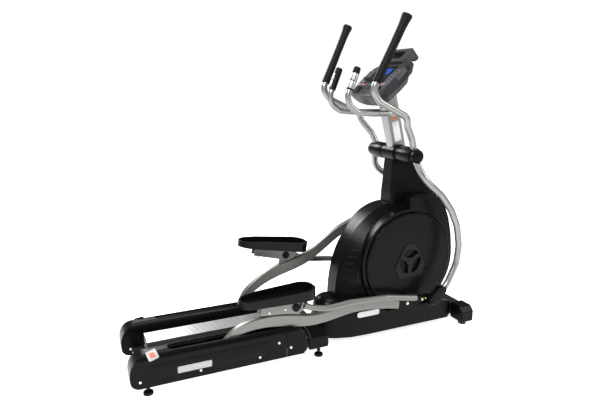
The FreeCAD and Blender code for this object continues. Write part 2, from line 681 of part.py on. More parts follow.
def bearing_block(side):
    """Cast block that holds the crank pin bearing at the front of a main arm."""
    roller, slope = linkage(side)[1:3]
    x, z = roller[0] + arm_length, roller[1]
    y0, y1 = arm_y - arm_thickness / 2 - 1, arm_y + arm_thickness / 2 + 3
    block = side_plate([(x - 51.7, z - 22), (x - 51.7, z + 40), (x + 40, z + 36), (x + 46, z + 22),
                        (x + 28, z - 32), (x - 30, z - 30)], y0, y1)
    block = rounded(block, 3)
    block = block.cut(box(x - 64, x - 29.8, arm_y - 12.1, arm_y + 12.1, z - 8.1, z + 24.1))
    block = block.cut(rod(x, z, 15, y0 - 1, y0 + 24))
    block = block.cut(rod(x + 16, z + 6, 6, y1 - 4, y1 + 2))
    block = turned(block, roller[0], roller[1], slope)
    return block if side == left else mirror_y(block)


def roller_axle(side):
    roller = linkage(side)[1]
    pin = rod(roller[0], roller[1], 8.0, arm_y - arm_thickness / 2 - 3, arm_y + arm_thickness / 2 + 3)
    return pin if side == left else mirror_y(pin)


def track_roller(side):
    roller = linkage(side)[1]
    half = roller_width / 2
    wheel = rod(roller[0], roller[1], roller_radius - 0.3, arm_y - half, arm_y + half)
    wheel = rounded(wheel, 3)
    wheel = wheel.cut(rod(roller[0], roller[1], 8.06, arm_y - 30, arm_y + 30))
    return wheel if side == left else mirror_y(wheel)


# ---------------------------------------------------------------- pedals and links
def pedal_link(side):
    """Pedal bracket and the bent tube that runs forward to the swing arm."""
    pedal = linkage(side)[3]
    joint = lower_joint(swing_angle(side))
    reach = math.hypot(joint[0] - pedal[0], joint[1] - pedal[1])
    heading = math.atan2(joint[1] - pedal[1], joint[0] - pedal[0])
    x, z = pedal
    outer = arm_y + arm_thickness / 2 + 4
    inner = arm_y - arm_thickness / 2 - 4
    cheek_line = [(x - 196, z - 34), (x - 196, z + 13), (x + 60, z + 40), (x + 72, z + 10),
                  (x + 40, z - 24), (x - 10, z - 30)]
    outer_cheek = side_plate(cheek_line, outer, outer + 7)
    inner_cheek = side_plate(cheek_line, inner - 7, inner)
    deck = side_plate([(x - 196, z + 12.5), (x - 196, z + 18.5), (x + 60, z + 45.4), (x + 60, z + 39.4)],
                      inner - 7, outer + 7)
    pin = rod(x, z, 9.0, inner - 7, outer + 12)
    cap = rod(x, z, 19, outer + 7, outer + 12)
    tube = [(x + 40, link_y, z + 14), (x + 92, link_y, z - 6), (x + 190, link_y, z - 16),
            (x + 330, link_y, z + 8), (x + 560, link_y, z + 20), (x + reach - 86, link_y, z + 3)]
    bar = pipe(tube, link_radius, 260)
    plug = side_plate([(x + 22, z - 2), (x + 28, z + 32), (x + 62, z + 24), (x + 54, z - 12)],
                      outer, link_y + 4)
    body = fuse_all([outer_cheek, inner_cheek, deck, pin, cap, plug])
    body = body.fuse(bar.cut(body)).removeSplitter()
    body = max(body.Solids, key=lambda s: s.Volume)
    body = turned(body, x, z, heading)
    return body if side == left else mirror_y(body)


def rod_end(side):
    """Black rod end between the link tube and the foot of the swing arm."""
    pedal = linkage(side)[3]
    joint = lower_joint(swing_angle(side))
    reach = math.hypot(joint[0] - pedal[0], joint[1] - pedal[1])
    heading = math.atan2(joint[1] - pedal[1], joint[0] - pedal[0])
    x, z = pedal[0] + reach, pedal[1]
    neck = side_plate([(x - 84, z - 12), (x - 84, z + 18), (x - 30, z + 18), (x, z + 20), (x, z - 20),
                       (x - 30, z - 14)], link_y - 15, link_y + 15)
    eye = rod(x, z, 22, link_y - 15, link_y + 15)
    pin = rod(x, z, 10, link_y - 17, link_y + 16.5)
    body = fuse_all([neck, eye, pin])
    body = turned(body, pedal[0], pedal[1], heading)
    return body if side == left else mirror_y(body)


def pedal_plate(x0, x1, half_heel, half_toe, z0, z1, grow=0.0):
    """Foot-shaped slab: rounded heel, wider toe."""
    h, t = half_heel + grow, half_toe + grow
    x0, x1 = x0 - grow, x1 + grow
    ring = [Part.Arc(V(x0 + 60, -h, z0), V(x0, 0, z0), V(x0 + 60, h, z0)).toShape(),
            Part.makeLine(V(x0 + 60, h, z0), V(x1 - 70, t, z0)),
            Part.Arc(V(x1 - 70, t, z0), V(x1 - 18, t - 20, z0), V(x1, t - 66, z0)).toShape(),
            Part.makeLine(V(x1, t - 66, z0), V(x1, -t + 66, z0)),
            Part.Arc(V(x1, -t + 66, z0), V(x1 - 18, -t + 20, z0), V(x1 - 70, -t, z0)).toShape(),
            Part.makeLine(V(x1 - 70, -t, z0), V(x0 + 60, -h, z0))]
    return Part.Face(Part.Wire(ring)).extrude(V(0, 0, z1 - z0))


def pedal(side):
    """Foot pedal: deep tray with a raised rim and a ribbed tread."""
    pivot = linkage(side)[3]
    joint = lower_joint(swing_angle(side))
    heading = math.atan2(joint[1] - pivot[1], joint[0] - pivot[0])
    x0, x1 = pivot[0] - 300, pivot[0] + 120
    base = pivot[1] + 39
    tray = pedal_plate(x0, x1, 66, 80, base, base + 58)
    top = side_plate([(x0 - 20, base + 30), (x0 - 20, base + 90), (x1 + 20, base + 90),
                      (x1 + 20, base + 56), (x0 + 120, base + 44)], -120, 120)
    tray = tray.cut(top)
    hollow = pedal_plate(x0 + 12, x1 - 12, 54, 68, base + 14, base + 70)
    tray = tray.cut(hollow)
    for k in range(14):
        x = x0 + 50 + k * 22
        half = 50 if k < 2 else 60
        rib = box(x, x + 8, -half, half, base + 13, base + 19)
        tray = tray.fuse(rib)
    tray = tray.removeSplitter()
    tray.translate(V(0, pedal_y, 0))
    tray = turned(tray, pivot[0], pivot[1], heading + math.radians(6))
    return tray if side == left else mirror_y(tray)


# ---------------------------------------------------------------- swing arms
def swing_barrel(side):
    """Pivot barrel of a swing arm on the cross axle, with the sockets of its two tubes."""
    barrel = rod(swing_x, swing_z, barrel_radius, barrel_inner_y, barrel_outer_y)
    flange = rod(swing_x, swing_z, barrel_radius + 6, barrel_inner_y + 2, barrel_inner_y + 12)
    body = barrel.fuse(flange)
    body = rounded(body, 4, lambda e: e.BoundBox.YMin > barrel_outer_y - 0.1)
    body = body.cut(rod(swing_x, swing_z, 16.05, barrel_inner_y - 1, barrel_outer_y - 8))
    return body if side == left else mirror_y(body)


grip_corner, grip_tip = V(1166, 279, 1444), V(1341, 301, 1812)


def handle_tube(side):
    """Bent upper tube of a swing arm, from the barrel into the foot of the grip."""
    end = grip_corner + (grip_tip - grip_corner) * 0.28
    points = [(1497, 190, 1112), (1468, 206, 1180), (1414, 236, 1252), (1400, 250, 1302), (1290, 268, 1350),
              (1206, 276, 1390), tuple(grip_corner), tuple(end)]
    body = pipe(points, handle_radius, 62)
    body = body.cut(rod(swing_x, swing_z, barrel_radius + 0.02, 100, 300))
    return body if side == left else mirror_y(body)


def grip(side):
    """Foam-covered hand grip with a flared top."""
    axis = grip_tip - grip_corner
    base = grip_corner + axis * 0.1
    length = axis.Length * 0.9
    bore, depth = 18.05, axis.Length * 0.18 + 0.5
    profile = [(bore, 0), (22, 0), (23.5, 8), (22.5, 90), (21.5, 200), (22, 300), (24, 330), (28, length - 8),
               (25, length), (0, length), (0, depth), (bore, depth)]
    ring = [V(r, 0, h) for r, h in profile]
    body = Part.Face(Part.makePolygon(ring + [ring[0]])).revolve(V(0, 0, 0), V(0, 0, 1), 360)
    body.Placement = FreeCAD.Placement(base, FreeCAD.Rotation(V(0, 0, 1), axis))
    return body if side == left else mirror_y(body)


def lower_points():
    return [(1497, 214, 1056), (1524, 262, 960), (1646, swing_y, 862), (1722, swing_y, 768), (1770, swing_y, 672),
            (1794, swing_y, 550), (1782, swing_y, 440), (1726, swing_y, 330), (1690, swing_y, 288)]


def swing_tube(side):
    """Bowed lower tube of a swing arm, from the barrel down to the link joint."""
    turn = swing_angle(side) - math.radians(8.3)
    body = pipe(lower_points(), lower_radius, 150)
    body = turned(body, swing_x, swing_z, turn)
    body = body.cut(rod(swing_x, swing_z, barrel_radius + 0.02, 100, 300))
    body = max(body.Solids, key=lambda s: s.Volume)
    return body if side == left else mirror_y(body)


def joint_cover(side):
    """Teardrop cover at the foot of a swing arm, just outside the link's rod end."""
    joint = lower_joint(math.radians(8.3))
    x, z = joint
    outline = [(x - 26, z - 22), (x - 30, z + 6), (x - 12, z + 24), (x + 44, z + 78), (x + 84, z + 76),
               (x + 90, z + 48), (x + 42, z - 10), (x + 6, z - 26)]
    body = side_plate(outline, swing_y - 22, swing_y + 24)
    body = rounded(body, 9)
    body = body.cut(sweep(arc_path(lower_points(), 150), lower_radius + 0.02))
    body = max(body.Solids, key=lambda s: s.Volume)
    turn = swing_angle(side) - math.radians(8.3)
    body = turned(body, swing_x, swing_z, turn)
    return body if side == left else mirror_y(body)


def pivot_axle():
    """Fixed cross axle that both swing arms turn on."""
    return rod(swing_x, swing_z, 16, -barrel_outer_y + 9, barrel_outer_y - 9)


# ---------------------------------------------------------------- mast and console
mast_foot, mast_top = V(1601.5, 0, 753), V(1424.3, 0, 1450)
mast_depth, mast_width, mast_wall = 50.0, 32.0, 3.0
bar_x, bar_z = 1459.0, 1316.0


def mast_bar(x_half, y_half, stretch=0.0):
    axis = mast_top - mast_foot
    bar = box(-x_half, x_half, -y_half, y_half, -stretch, axis.Length + stretch)
    bar = rounded(bar, 18, lambda e: e.BoundBox.ZLength > 300)
    bar.Placement = FreeCAD.Placement(mast_foot, FreeCAD.Rotation(V(0, 0, 1), axis))
    return bar


def mast():
    """Oval mast that carries the swing axle, the fixed handlebar and the console."""
    shell = mast_bar(mast_depth, mast_width).cut(mast_bar(mast_depth - mast_wall, mast_width - mast_wall, 4))
    boss = rod(swing_x, swing_z, 30, -58, 58)
    sleeve = rod(bar_x, bar_z, 20, -mast_width + 1, mast_width - 1)
    body = fuse_all([shell, boss, sleeve])
    body = body.cut(rod(swing_x, swing_z, 16.02, -100, 100)).cut(rod(bar_x, bar_z, 16.0, -100, 100))
    return body.cut(box(1400, 1800, -60, 60, 600, column_top_z)).removeSplitter()


def mast_collar():
    """Black collar at the swing pivot, between the neck cover and the mast."""
    body = rod(swing_x, swing_z, 52, -60, 60)
    body = rounded(body, 6)
    body = body.cut(rod(swing_x, swing_z, 30.3, -100, 100))
    body = body.cut(mast_bar(mast_depth + 0.4, mast_width + 0.4, 10))
    return body.cut(box(1400, 1600, -100, 100, 1000, 1046.4))


bar_corner, bar_tip = V(1121, 101, 1412), V(1178, 100, 1556)


def fixed_handlebar():
    """Fixed bar with two upright ends, clamped through the mast."""
    half = [(bar_x, 0, bar_z), (bar_x, 66, bar_z), (1400, 99, bar_z), (1280, 102, 1317), (1186, 102, 1325),
            (1136, 102, 1360), tuple(bar_corner), tuple(bar_tip)]
    points = [(x, -y, z) for x, y, z in reversed(half[1:])] + [half[1]] + half[2:]
    return pipe(points, 15.9, 60)


def fixed_grips():
    """Foam sleeve of each upright end and its end plug."""
    axis = bar_tip - bar_corner
    base = bar_corner + axis * 0.22
    length = axis.Length * 0.78
    profile = [(16.0, 0), (19.5, 0), (19.5, length - 2), (15, length + 6), (0, length + 6), (0, length + 0.4),
               (16.0, length + 0.4)]
    ring = [V(r, 0, h) for r, h in profile]
    sleeve = Part.Face(Part.makePolygon(ring + [ring[0]])).revolve(V(0, 0, 0), V(0, 0, 1), 360)
    sleeve.Placement = FreeCAD.Placement(base, FreeCAD.Rotation(V(0, 0, 1), axis))
    return both_sides(sleeve)


# The console's own frame: u runs up its face, w out of its back, from the face's lower edge
console_low, console_lean = V(1262, 0, 1412), math.radians(41)


def console_place(shape):
    shape.Placement = FreeCAD.Placement(
        console_low, FreeCAD.Rotation(V(0, 1, 0), -math.degrees(console_lean))).multiply(shape.Placement)
    return shape


def console_slab(outline, depth0, depth1):
    """Flat outline (u, half-width) mirrored about the middle, between two depths."""
    ring = [V(u, y, depth0) for u, y in outline] + [V(u, -y, depth0) for u, y in reversed(outline)]
    return Part.Face(Part.makePolygon(ring + [ring[0]])).extrude(V(0, 0, depth1 - depth0))


console_face = [(0, 92), (10, 128), (60, 158), (150, 168), (232, 158), (262, 118), (300, 96), (338, 88)]


def console_front():
    """Faceted face panel with the display recess, the top tray, the key holes and the reading rack."""
    body = console_slab(console_face, -26, 0)
    body = rounded(body, 7, lambda e: e.BoundBox.ZMin > -1)
    body = body.cut(console_slab([(150, 76), (228, 76)], -5, 2))
    for u, y in key_places:
        body = body.cut(Part.makeCylinder(8.5, 12, V(u, y, -9)))
    hood = console_slab([(262, 100), (290, 112), (350, 112), (372, 92)], -26, 18)
    hood_back = console_slab([(336, 104), (350, 112), (372, 92)], -45, -25)
    shelf = console_slab([(290, 70), (348, 62)], -12, 20)
    rack = console_slab([(118, 96), (128, 96)], -1, 22).fuse(console_slab([(118, 96), (122, 96)], -1, 30))
    body = fuse_all([body, hood, hood_back, rack]).cut(shelf)
    return console_place(body)


def console_bowl(wall):
    levels = ((-26 - 0.4 + wall, 1.0, 0.0), (-60, 0.93, 6.0), (-96 + wall, 0.74, 26.0))
    rings = []
    for depth, scale, shift in levels:
        narrow = 0.82 if depth < -90 else 0.96
        low, high = shift + wall, shift + console_face[-1][0] * narrow - wall
        outline = [(min(max(shift + u * narrow, low), high), y * scale - wall) for u, y in console_face]
        ring = [V(u, y, depth) for u, y in outline] + [V(u, -y, depth) for u, y in reversed(outline)]
        rings.append(Part.makePolygon(ring + [ring[0]]))
    return Part.makeLoft(rings, True, True)


def console_back():
    """Hollow rear shell of the console, open where the mast enters it."""
    body = console_place(console_bowl(0).cut(console_bowl(4)))
    return body.cut(mast_bar(mast_depth + 0.4, mast_width + 0.4, 10))


def display_lens():
    body = console_slab([(150.5, 75.5), (227.5, 75.5)], -4.9, -1.5)
    return console_place(body)


key_places = [(60, 0), (60, 46), (60, -46)]


def console_key(index):
    u, y = key_places[index]
    body = Part.makeCylinder(8.0, 7.5, V(u, y, -6))
    body = rounded(body, 1.2, lambda e: e.BoundBox.ZMin > 1)
    return console_place(body)


def nodes():
    made = {
        "main_frame": main_frame(),
        "stabilizers": stabilizers(),
        "stabilizer_caps": stabilizer_caps(),
        "levelling_feet": levelling_feet(),
        "track_rails": track_rails(),
        "centre_beam": centre_beam(),
        "base_shroud": base_shroud(),
        "neck_cover": neck_cover(),
        "mast": mast(),
        "mast_collar": mast_collar(),
        "pivot_axle": pivot_axle(),
        "crank_bearings": crank_bearings(),
        "drive_brackets": drive_brackets(),
        "drive_belt": drive_belt(),
        "brake_magnet": brake_magnet(),
        "fixed_handlebar": fixed_handlebar(),
        "fixed_grips": fixed_grips(),
        "console_front": console_front(),
        "console_back": console_back(),
        "display_lens": display_lens(),
        "crank_shaft": crank_shaft(),
        "drive_pulley": drive_pulley(),
        "hub_covers": hub_covers(),
        "flywheel": flywheel(),
        "idler_pulley": idler_pulley(),
        "start_key": console_key(0),
        "faster_key": console_key(1),
        "slower_key": console_key(2),
    }
    per_side = {
        "track_cover": track_cover, "side_shell": side_shell, "transport_wheel": transport_wheel,
        "crank_disc": crank_disc, "main_arm": main_arm, "bearing_block": bearing_block,
        "roller_axle": roller_axle, "track_roller": track_roller, "pedal_link": pedal_link,
        "rod_end": rod_end, "pedal": pedal, "swing_barrel": swing_barrel, "handle_tube": handle_tube,
        "grip": grip, "swing_tube": swing_tube, "joint_cover": joint_cover}
    for name, make in per_side.items():
        made[name + "_right"] = make(right)
        made[name + "_left"] = make(left)
    return made


if __name__ == "__main__":
    os.makedirs(out_folder, exist_ok=True)
    for name, shape in nodes().items():
        shape.translate(V(-origin_x, 0, 0))
        box_size = shape.BoundBox
        print("%-22s solids %d valid %s volume %.1f cm3  x %.0f..%.0f y %.0f..%.0f z %.0f..%.0f" % (
            name, len(shape.Solids), shape.isValid(), shape.Volume / 1000, box_size.XMin, box_size.XMax,
            box_size.YMin, box_size.YMax, box_size.ZMin, box_size.ZMax))
        shape.exportStep("%s/%s.step" % (out_folder, name))
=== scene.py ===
import bpy
import json
import math
from mathutils import Matrix, Vector


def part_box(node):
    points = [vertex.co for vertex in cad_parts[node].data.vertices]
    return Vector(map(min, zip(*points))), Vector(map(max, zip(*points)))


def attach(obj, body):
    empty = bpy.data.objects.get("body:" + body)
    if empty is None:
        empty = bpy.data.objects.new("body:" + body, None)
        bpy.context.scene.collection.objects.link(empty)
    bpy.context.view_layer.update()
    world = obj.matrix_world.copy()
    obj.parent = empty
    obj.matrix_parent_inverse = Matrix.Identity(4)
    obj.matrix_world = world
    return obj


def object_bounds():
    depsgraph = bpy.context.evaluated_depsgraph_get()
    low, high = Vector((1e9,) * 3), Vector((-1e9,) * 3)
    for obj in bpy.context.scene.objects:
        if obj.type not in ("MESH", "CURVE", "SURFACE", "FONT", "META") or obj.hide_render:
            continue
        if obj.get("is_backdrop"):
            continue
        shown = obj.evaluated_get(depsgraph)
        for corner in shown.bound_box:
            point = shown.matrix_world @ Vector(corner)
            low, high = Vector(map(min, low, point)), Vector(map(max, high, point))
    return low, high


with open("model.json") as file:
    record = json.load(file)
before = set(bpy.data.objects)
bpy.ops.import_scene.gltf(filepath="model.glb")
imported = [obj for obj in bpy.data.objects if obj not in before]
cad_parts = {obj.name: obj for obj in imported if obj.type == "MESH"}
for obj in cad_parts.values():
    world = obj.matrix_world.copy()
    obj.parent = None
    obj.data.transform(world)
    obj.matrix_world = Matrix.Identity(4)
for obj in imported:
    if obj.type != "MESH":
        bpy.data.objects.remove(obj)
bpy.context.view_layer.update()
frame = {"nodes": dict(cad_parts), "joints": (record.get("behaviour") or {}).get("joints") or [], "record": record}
nodes = frame["nodes"]
print("frame loaded:", len(nodes), "nodes")

xBack = -0.969  # where the rear levelling feet stand


def at(x, y, z):
    # from millimetres measured from the rear feet to the scene's metres
    return Vector((x / 1000 + xBack, y / 1000, z / 1000))


# modelling helpers

def freshStart():
    if bpy.context.object and bpy.context.object.mode != "OBJECT":
        bpy.ops.object.mode_set(mode="OBJECT")
    bpy.ops.object.select_all(action="DESELECT")


def editFaces(obj, pick):
    # goes into edit mode with only the picked faces selected
    freshStart()
    obj.select_set(True)
    bpy.context.view_layer.objects.active = obj
    bpy.ops.object.mode_set(mode="EDIT")
    bpy.ops.mesh.select_mode(type="FACE")
    bpy.ops.mesh.select_all(action="DESELECT")
    bpy.ops.object.mode_set(mode="OBJECT")
    for face in obj.data.polygons:
        face.select = bool(pick(face))
    bpy.ops.object.mode_set(mode="EDIT")


def editEdges(obj, pick):
    freshStart()
    obj.select_set(True)
    bpy.context.view_layer.objects.active = obj
    bpy.ops.object.mode_set(mode="EDIT")
    bpy.ops.mesh.select_mode(type="EDGE")
    bpy.ops.mesh.select_all(action="DESELECT")
    bpy.ops.object.mode_set(mode="OBJECT")
    for edge in obj.data.edges:
        a, b = (obj.data.vertices[k].co for k in edge.vertices)
        edge.select = bool(pick(a, b))
    bpy.ops.object.mode_set(mode="EDIT")


def leaveEdit():
    bpy.ops.object.mode_set(mode="OBJECT")


def bakePlace(obj, place):
    # puts the piece's place in its mesh and leaves the object at the origin
    freshStart()
    obj.select_set(True)
    bpy.context.view_layer.objects.active = obj
    bpy.ops.object.transform_apply(location=True, rotation=True, scale=True)
    obj.data.transform(place)
    obj.data.update()


def soften(obj, angle=35):
    freshStart()
    obj.select_set(True)
    bpy.context.view_layer.objects.active = obj
    bpy.ops.object.shade_smooth_by_angle(angle=math.radians(angle))


def dress(obj, body, finish):
    obj.data.materials.clear()
    obj.data.materials.append(finish)
    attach(obj, body)


def copyOf(model, name, place):
    obj = model.copy()
    obj.data = model.data.copy()
    obj.name = obj.data.name = name
    bpy.context.collection.objects.link(obj)
    obj.data.transform(place)
    return obj


def standing(point, normal, along=(0, 0, 1)):
    # a place with local z out along the normal and local x as near to "along" as it can be
    z = Vector(normal).normalized()
    x = Vector(along)
    x = (x - z * x.dot(z)).normalized()
    y = z.cross(x)
    turn = Matrix((x, y, z)).transposed().to_4x4()
    return Matrix.Translation(Vector(point)) @ turn


def onSurface(node, start, heading):
    # the point and normal where a ray first meets a CAD node
    hit, point, normal, face = nodes[node].ray_cast(Vector(start), Vector(heading).normalized())
    if not hit:
        return None, None
    if normal.dot(Vector(heading)) > 0:
        normal = -normal
    return point, normal


plateStyle = dict(cornerSteps=5, edgeSteps=2, edgeBevel=0.0008, edgeShare=0.3, recess=0.35)


def makePlate(name, length, width, thick, corner, rim=0.0):
    # a rounded plate lying on z = 0, with an optional raised rim
    freshStart()
    bpy.ops.mesh.primitive_cube_add(size=1, location=(0, 0, thick / 2))
    obj = bpy.context.object
    obj.name = obj.data.name = name
    obj.scale = (length, width, thick)
    bpy.ops.object.transform_apply(location=True, rotation=True, scale=True)
    editEdges(obj, lambda a, b: abs(a.z - b.z) > thick * 0.9)
    bpy.ops.mesh.bevel(offset=corner, segments=plateStyle["cornerSteps"], affect="EDGES")
    leaveEdit()
    if rim > 0:
        editFaces(obj, lambda f: f.normal.z > 0.9)
        bpy.ops.mesh.inset(thickness=rim)
        sink = -thick * plateStyle["recess"]
        bpy.ops.mesh.extrude_region_move(TRANSFORM_OT_translate={"value": (0, 0, sink)})
        leaveEdit()
    editEdges(obj, lambda a, b: a.z > thick * 0.9 and b.z > thick * 0.9)
    edge = min(thick * plateStyle["edgeShare"], plateStyle["edgeBevel"])
    bpy.ops.mesh.bevel(offset=edge, segments=plateStyle["edgeSteps"], affect="EDGES")
    leaveEdit()
    return obj


def makeDisc(name, radius, height, chamfer, sides=48):
    freshStart()
    bpy.ops.mesh.primitive_cylinder_add(vertices=sides, radius=radius, depth=height,
                                        location=(0, 0, height / 2))
    obj = bpy.context.object
    obj.name = obj.data.name = name
    bpy.ops.object.transform_apply(location=True, rotation=True, scale=True)
    editEdges(obj, lambda a, b: a.z > height * 0.9 and b.z > height * 0.9)
    bpy.ops.mesh.bevel(offset=chamfer, segments=3, affect="EDGES")
    leaveEdit()
    return obj


# shared effects

def newGroup(name, inputs, outputs):
    group = bpy.data.node_groups.new(name, "ShaderNodeTree")
    for label, kind, value in inputs:
        socket = group.interface.new_socket(name=label, in_out="INPUT", socket_type=kind)
        socket.default_value = value
    for label, kind in outputs:
        group.interface.new_socket(name=label, in_out="OUTPUT", socket_type=kind)
    start = group.nodes.new("NodeGroupInput")
    end = group.nodes.new("NodeGroupOutput")
    return group, start, end


def mathNode(tree, operation, a, b):
    node = tree.nodes.new("ShaderNodeMath")
    node.operation = operation
    for socket, value in zip(node.inputs, (a, b)):
        if hasattr(value, "links"):
            tree.links.new(value, socket)
        else:
            socket.default_value = value
    return node.outputs[0]


def surfaceGrain():
    # fine moulded or sprayed texture, as a height
    group, start, end = newGroup(
        "surfaceGrain", [("Scale", "NodeSocketFloat", 600.0), ("Depth", "NodeSocketFloat", 0.3)],
        [("Height", "NodeSocketFloat")])
    coords = group.nodes.new("ShaderNodeTexCoord")
    fine = group.nodes.new("ShaderNodeTexNoise")
    fine.inputs["Detail"].default_value = 3
    cells = group.nodes.new("ShaderNodeTexVoronoi")
    group.links.new(coords.outputs["Object"], fine.inputs["Vector"])
    group.links.new(coords.outputs["Object"], cells.inputs["Vector"])
    group.links.new(start.outputs["Scale"], fine.inputs["Scale"])
    group.links.new(mathNode(group, "MULTIPLY", start.outputs["Scale"], 0.8), cells.inputs["Scale"])
    mixed = mathNode(group, "ADD", fine.outputs[0], cells.outputs["Distance"])
    group.links.new(mathNode(group, "MULTIPLY", mixed, start.outputs["Depth"]), end.inputs["Height"])
    return group


def handledSheen():
    # slow changes in tone and gloss from handling and dust
    group, start, end = newGroup(
        "handledSheen",
        [("Color", "NodeSocketColor", (0.5, 0.5, 0.5, 1)),
         ("Dust Color", "NodeSocketColor", (0.4, 0.4, 0.4, 1)),
         ("Amount", "NodeSocketFloat", 0.1), ("Roughness", "NodeSocketFloat", 0.4),
         ("Spread", "NodeSocketFloat", 0.1)],
        [("Color", "NodeSocketColor"), ("Roughness", "NodeSocketFloat")])
    coords = group.nodes.new("ShaderNodeTexCoord")
    slow = group.nodes.new("ShaderNodeTexNoise")
    slow.inputs["Scale"].default_value = 7
    slow.inputs["Detail"].default_value = 6
    quick = group.nodes.new("ShaderNodeTexNoise")
    quick.inputs["Scale"].default_value = 60
    quick.inputs["Detail"].default_value = 4
    for noise in (slow, quick):
        group.links.new(coords.outputs["Object"], noise.inputs["Vector"])
    both = mathNode(group, "MULTIPLY", slow.outputs[0], quick.outputs[0])
    mask = mathNode(group, "MULTIPLY", both, start.outputs["Amount"])
    mix = group.nodes.new("ShaderNodeMix")
    mix.data_type = "RGBA"
    group.links.new(mask, mix.inputs[0])
    group.links.new(start.outputs["Color"], mix.inputs[6])
    group.links.new(start.outputs["Dust Color"], mix.inputs[7])
    group.links.new(mix.outputs[2], end.inputs["Color"])
    centred = mathNode(group, "SUBTRACT", slow.outputs[0], 0.5)
    swing = mathNode(group, "MULTIPLY", centred, start.outputs["Spread"])
    group.links.new(mathNode(group, "ADD", start.outputs["Roughness"], swing), end.inputs["Roughness"])
    return group


def fineScratches():
    # thin scuff lines, as a mask
    group, start, end = newGroup(
        "fineScratches", [("Scale", "NodeSocketFloat", 30.0), ("Amount", "NodeSocketFloat", 0.3)],
        [("Mask", "NodeSocketFloat")])
    coords = group.nodes.new("ShaderNodeTexCoord")
    stretch = group.nodes.new("ShaderNodeMapping")
    stretch.inputs["Scale"].default_value = (1, 9, 6)
    stretch.inputs["Rotation"].default_value = (0.5, 0.3, 0.9)
    noise = group.nodes.new("ShaderNodeTexNoise")
    noise.inputs["Detail"].default_value = 8
    group.links.new(coords.outputs["Object"], stretch.inputs["Vector"])
    group.links.new(stretch.outputs[0], noise.inputs["Vector"])
    group.links.new(start.outputs["Scale"], noise.inputs["Scale"])
    band = mathNode(group, "COMPARE", noise.outputs[0], 0.5)
    band.node.inputs[2].default_value = 0.006
    group.links.new(mathNode(group, "MULTIPLY", band, start.outputs["Amount"]), end.inputs["Mask"])
    return group


grainGroup = surfaceGrain()
sheenGroup = handledSheen()
scratchGroup = fineScratches()


def useGroup(tree, group, values):
    node = tree.nodes.new("ShaderNodeGroup")
    node.node_tree = group
    for label, value in values.items():
        node.inputs[label].default_value = value
    return node


def finishOf(name, look):
    material = bpy.data.materials.new(name)
    material.use_nodes = True
    tree = material.node_tree
    shader = tree.nodes["Principled BSDF"]
    color = tuple(look["color"]) + (1,)
    dust = tuple(min(1, c * 1.5 + 0.05) for c in look["color"]) + (1,)
    sheen = useGroup(tree, sheenGroup, {
        "Color": color, "Dust Color": dust, "Amount": look.get("dusting", 0.3),
        "Roughness": look["roughness"], "Spread": 0.12})
    tree.links.new(sheen.outputs["Color"], shader.inputs["Base Color"])
    rough = sheen.outputs["Roughness"]
    if look.get("scratches", 0) > 0:
        scuffs = useGroup(tree, scratchGroup, {"Scale": 25.0, "Amount": look["scratches"]})
        rough = mathNode(tree, "ADD", rough, scuffs.outputs["Mask"])
    tree.links.new(rough, shader.inputs["Roughness"])
    shader.inputs["Metallic"].default_value = look.get("metallic", 0)
    shader.inputs["Specular IOR Level"].default_value = look.get("specular", 0.5)
    shader.inputs["Coat Weight"].default_value = look.get("coat", 0)
    shader.inputs["Coat Roughness"].default_value = 0.2
    grain = useGroup(tree, grainGroup, {"Scale": look["grain"], "Depth": look["depth"]})
    bump = tree.nodes.new("ShaderNodeBump")
    bump.inputs["Distance"].default_value = 0.0004
    bump.inputs["Strength"].default_value = 0.4
    tree.links.new(grain.outputs["Height"], bump.inputs["Height"])
    tree.links.new(bump.outputs["Normal"], shader.inputs["Normal"])
    return material


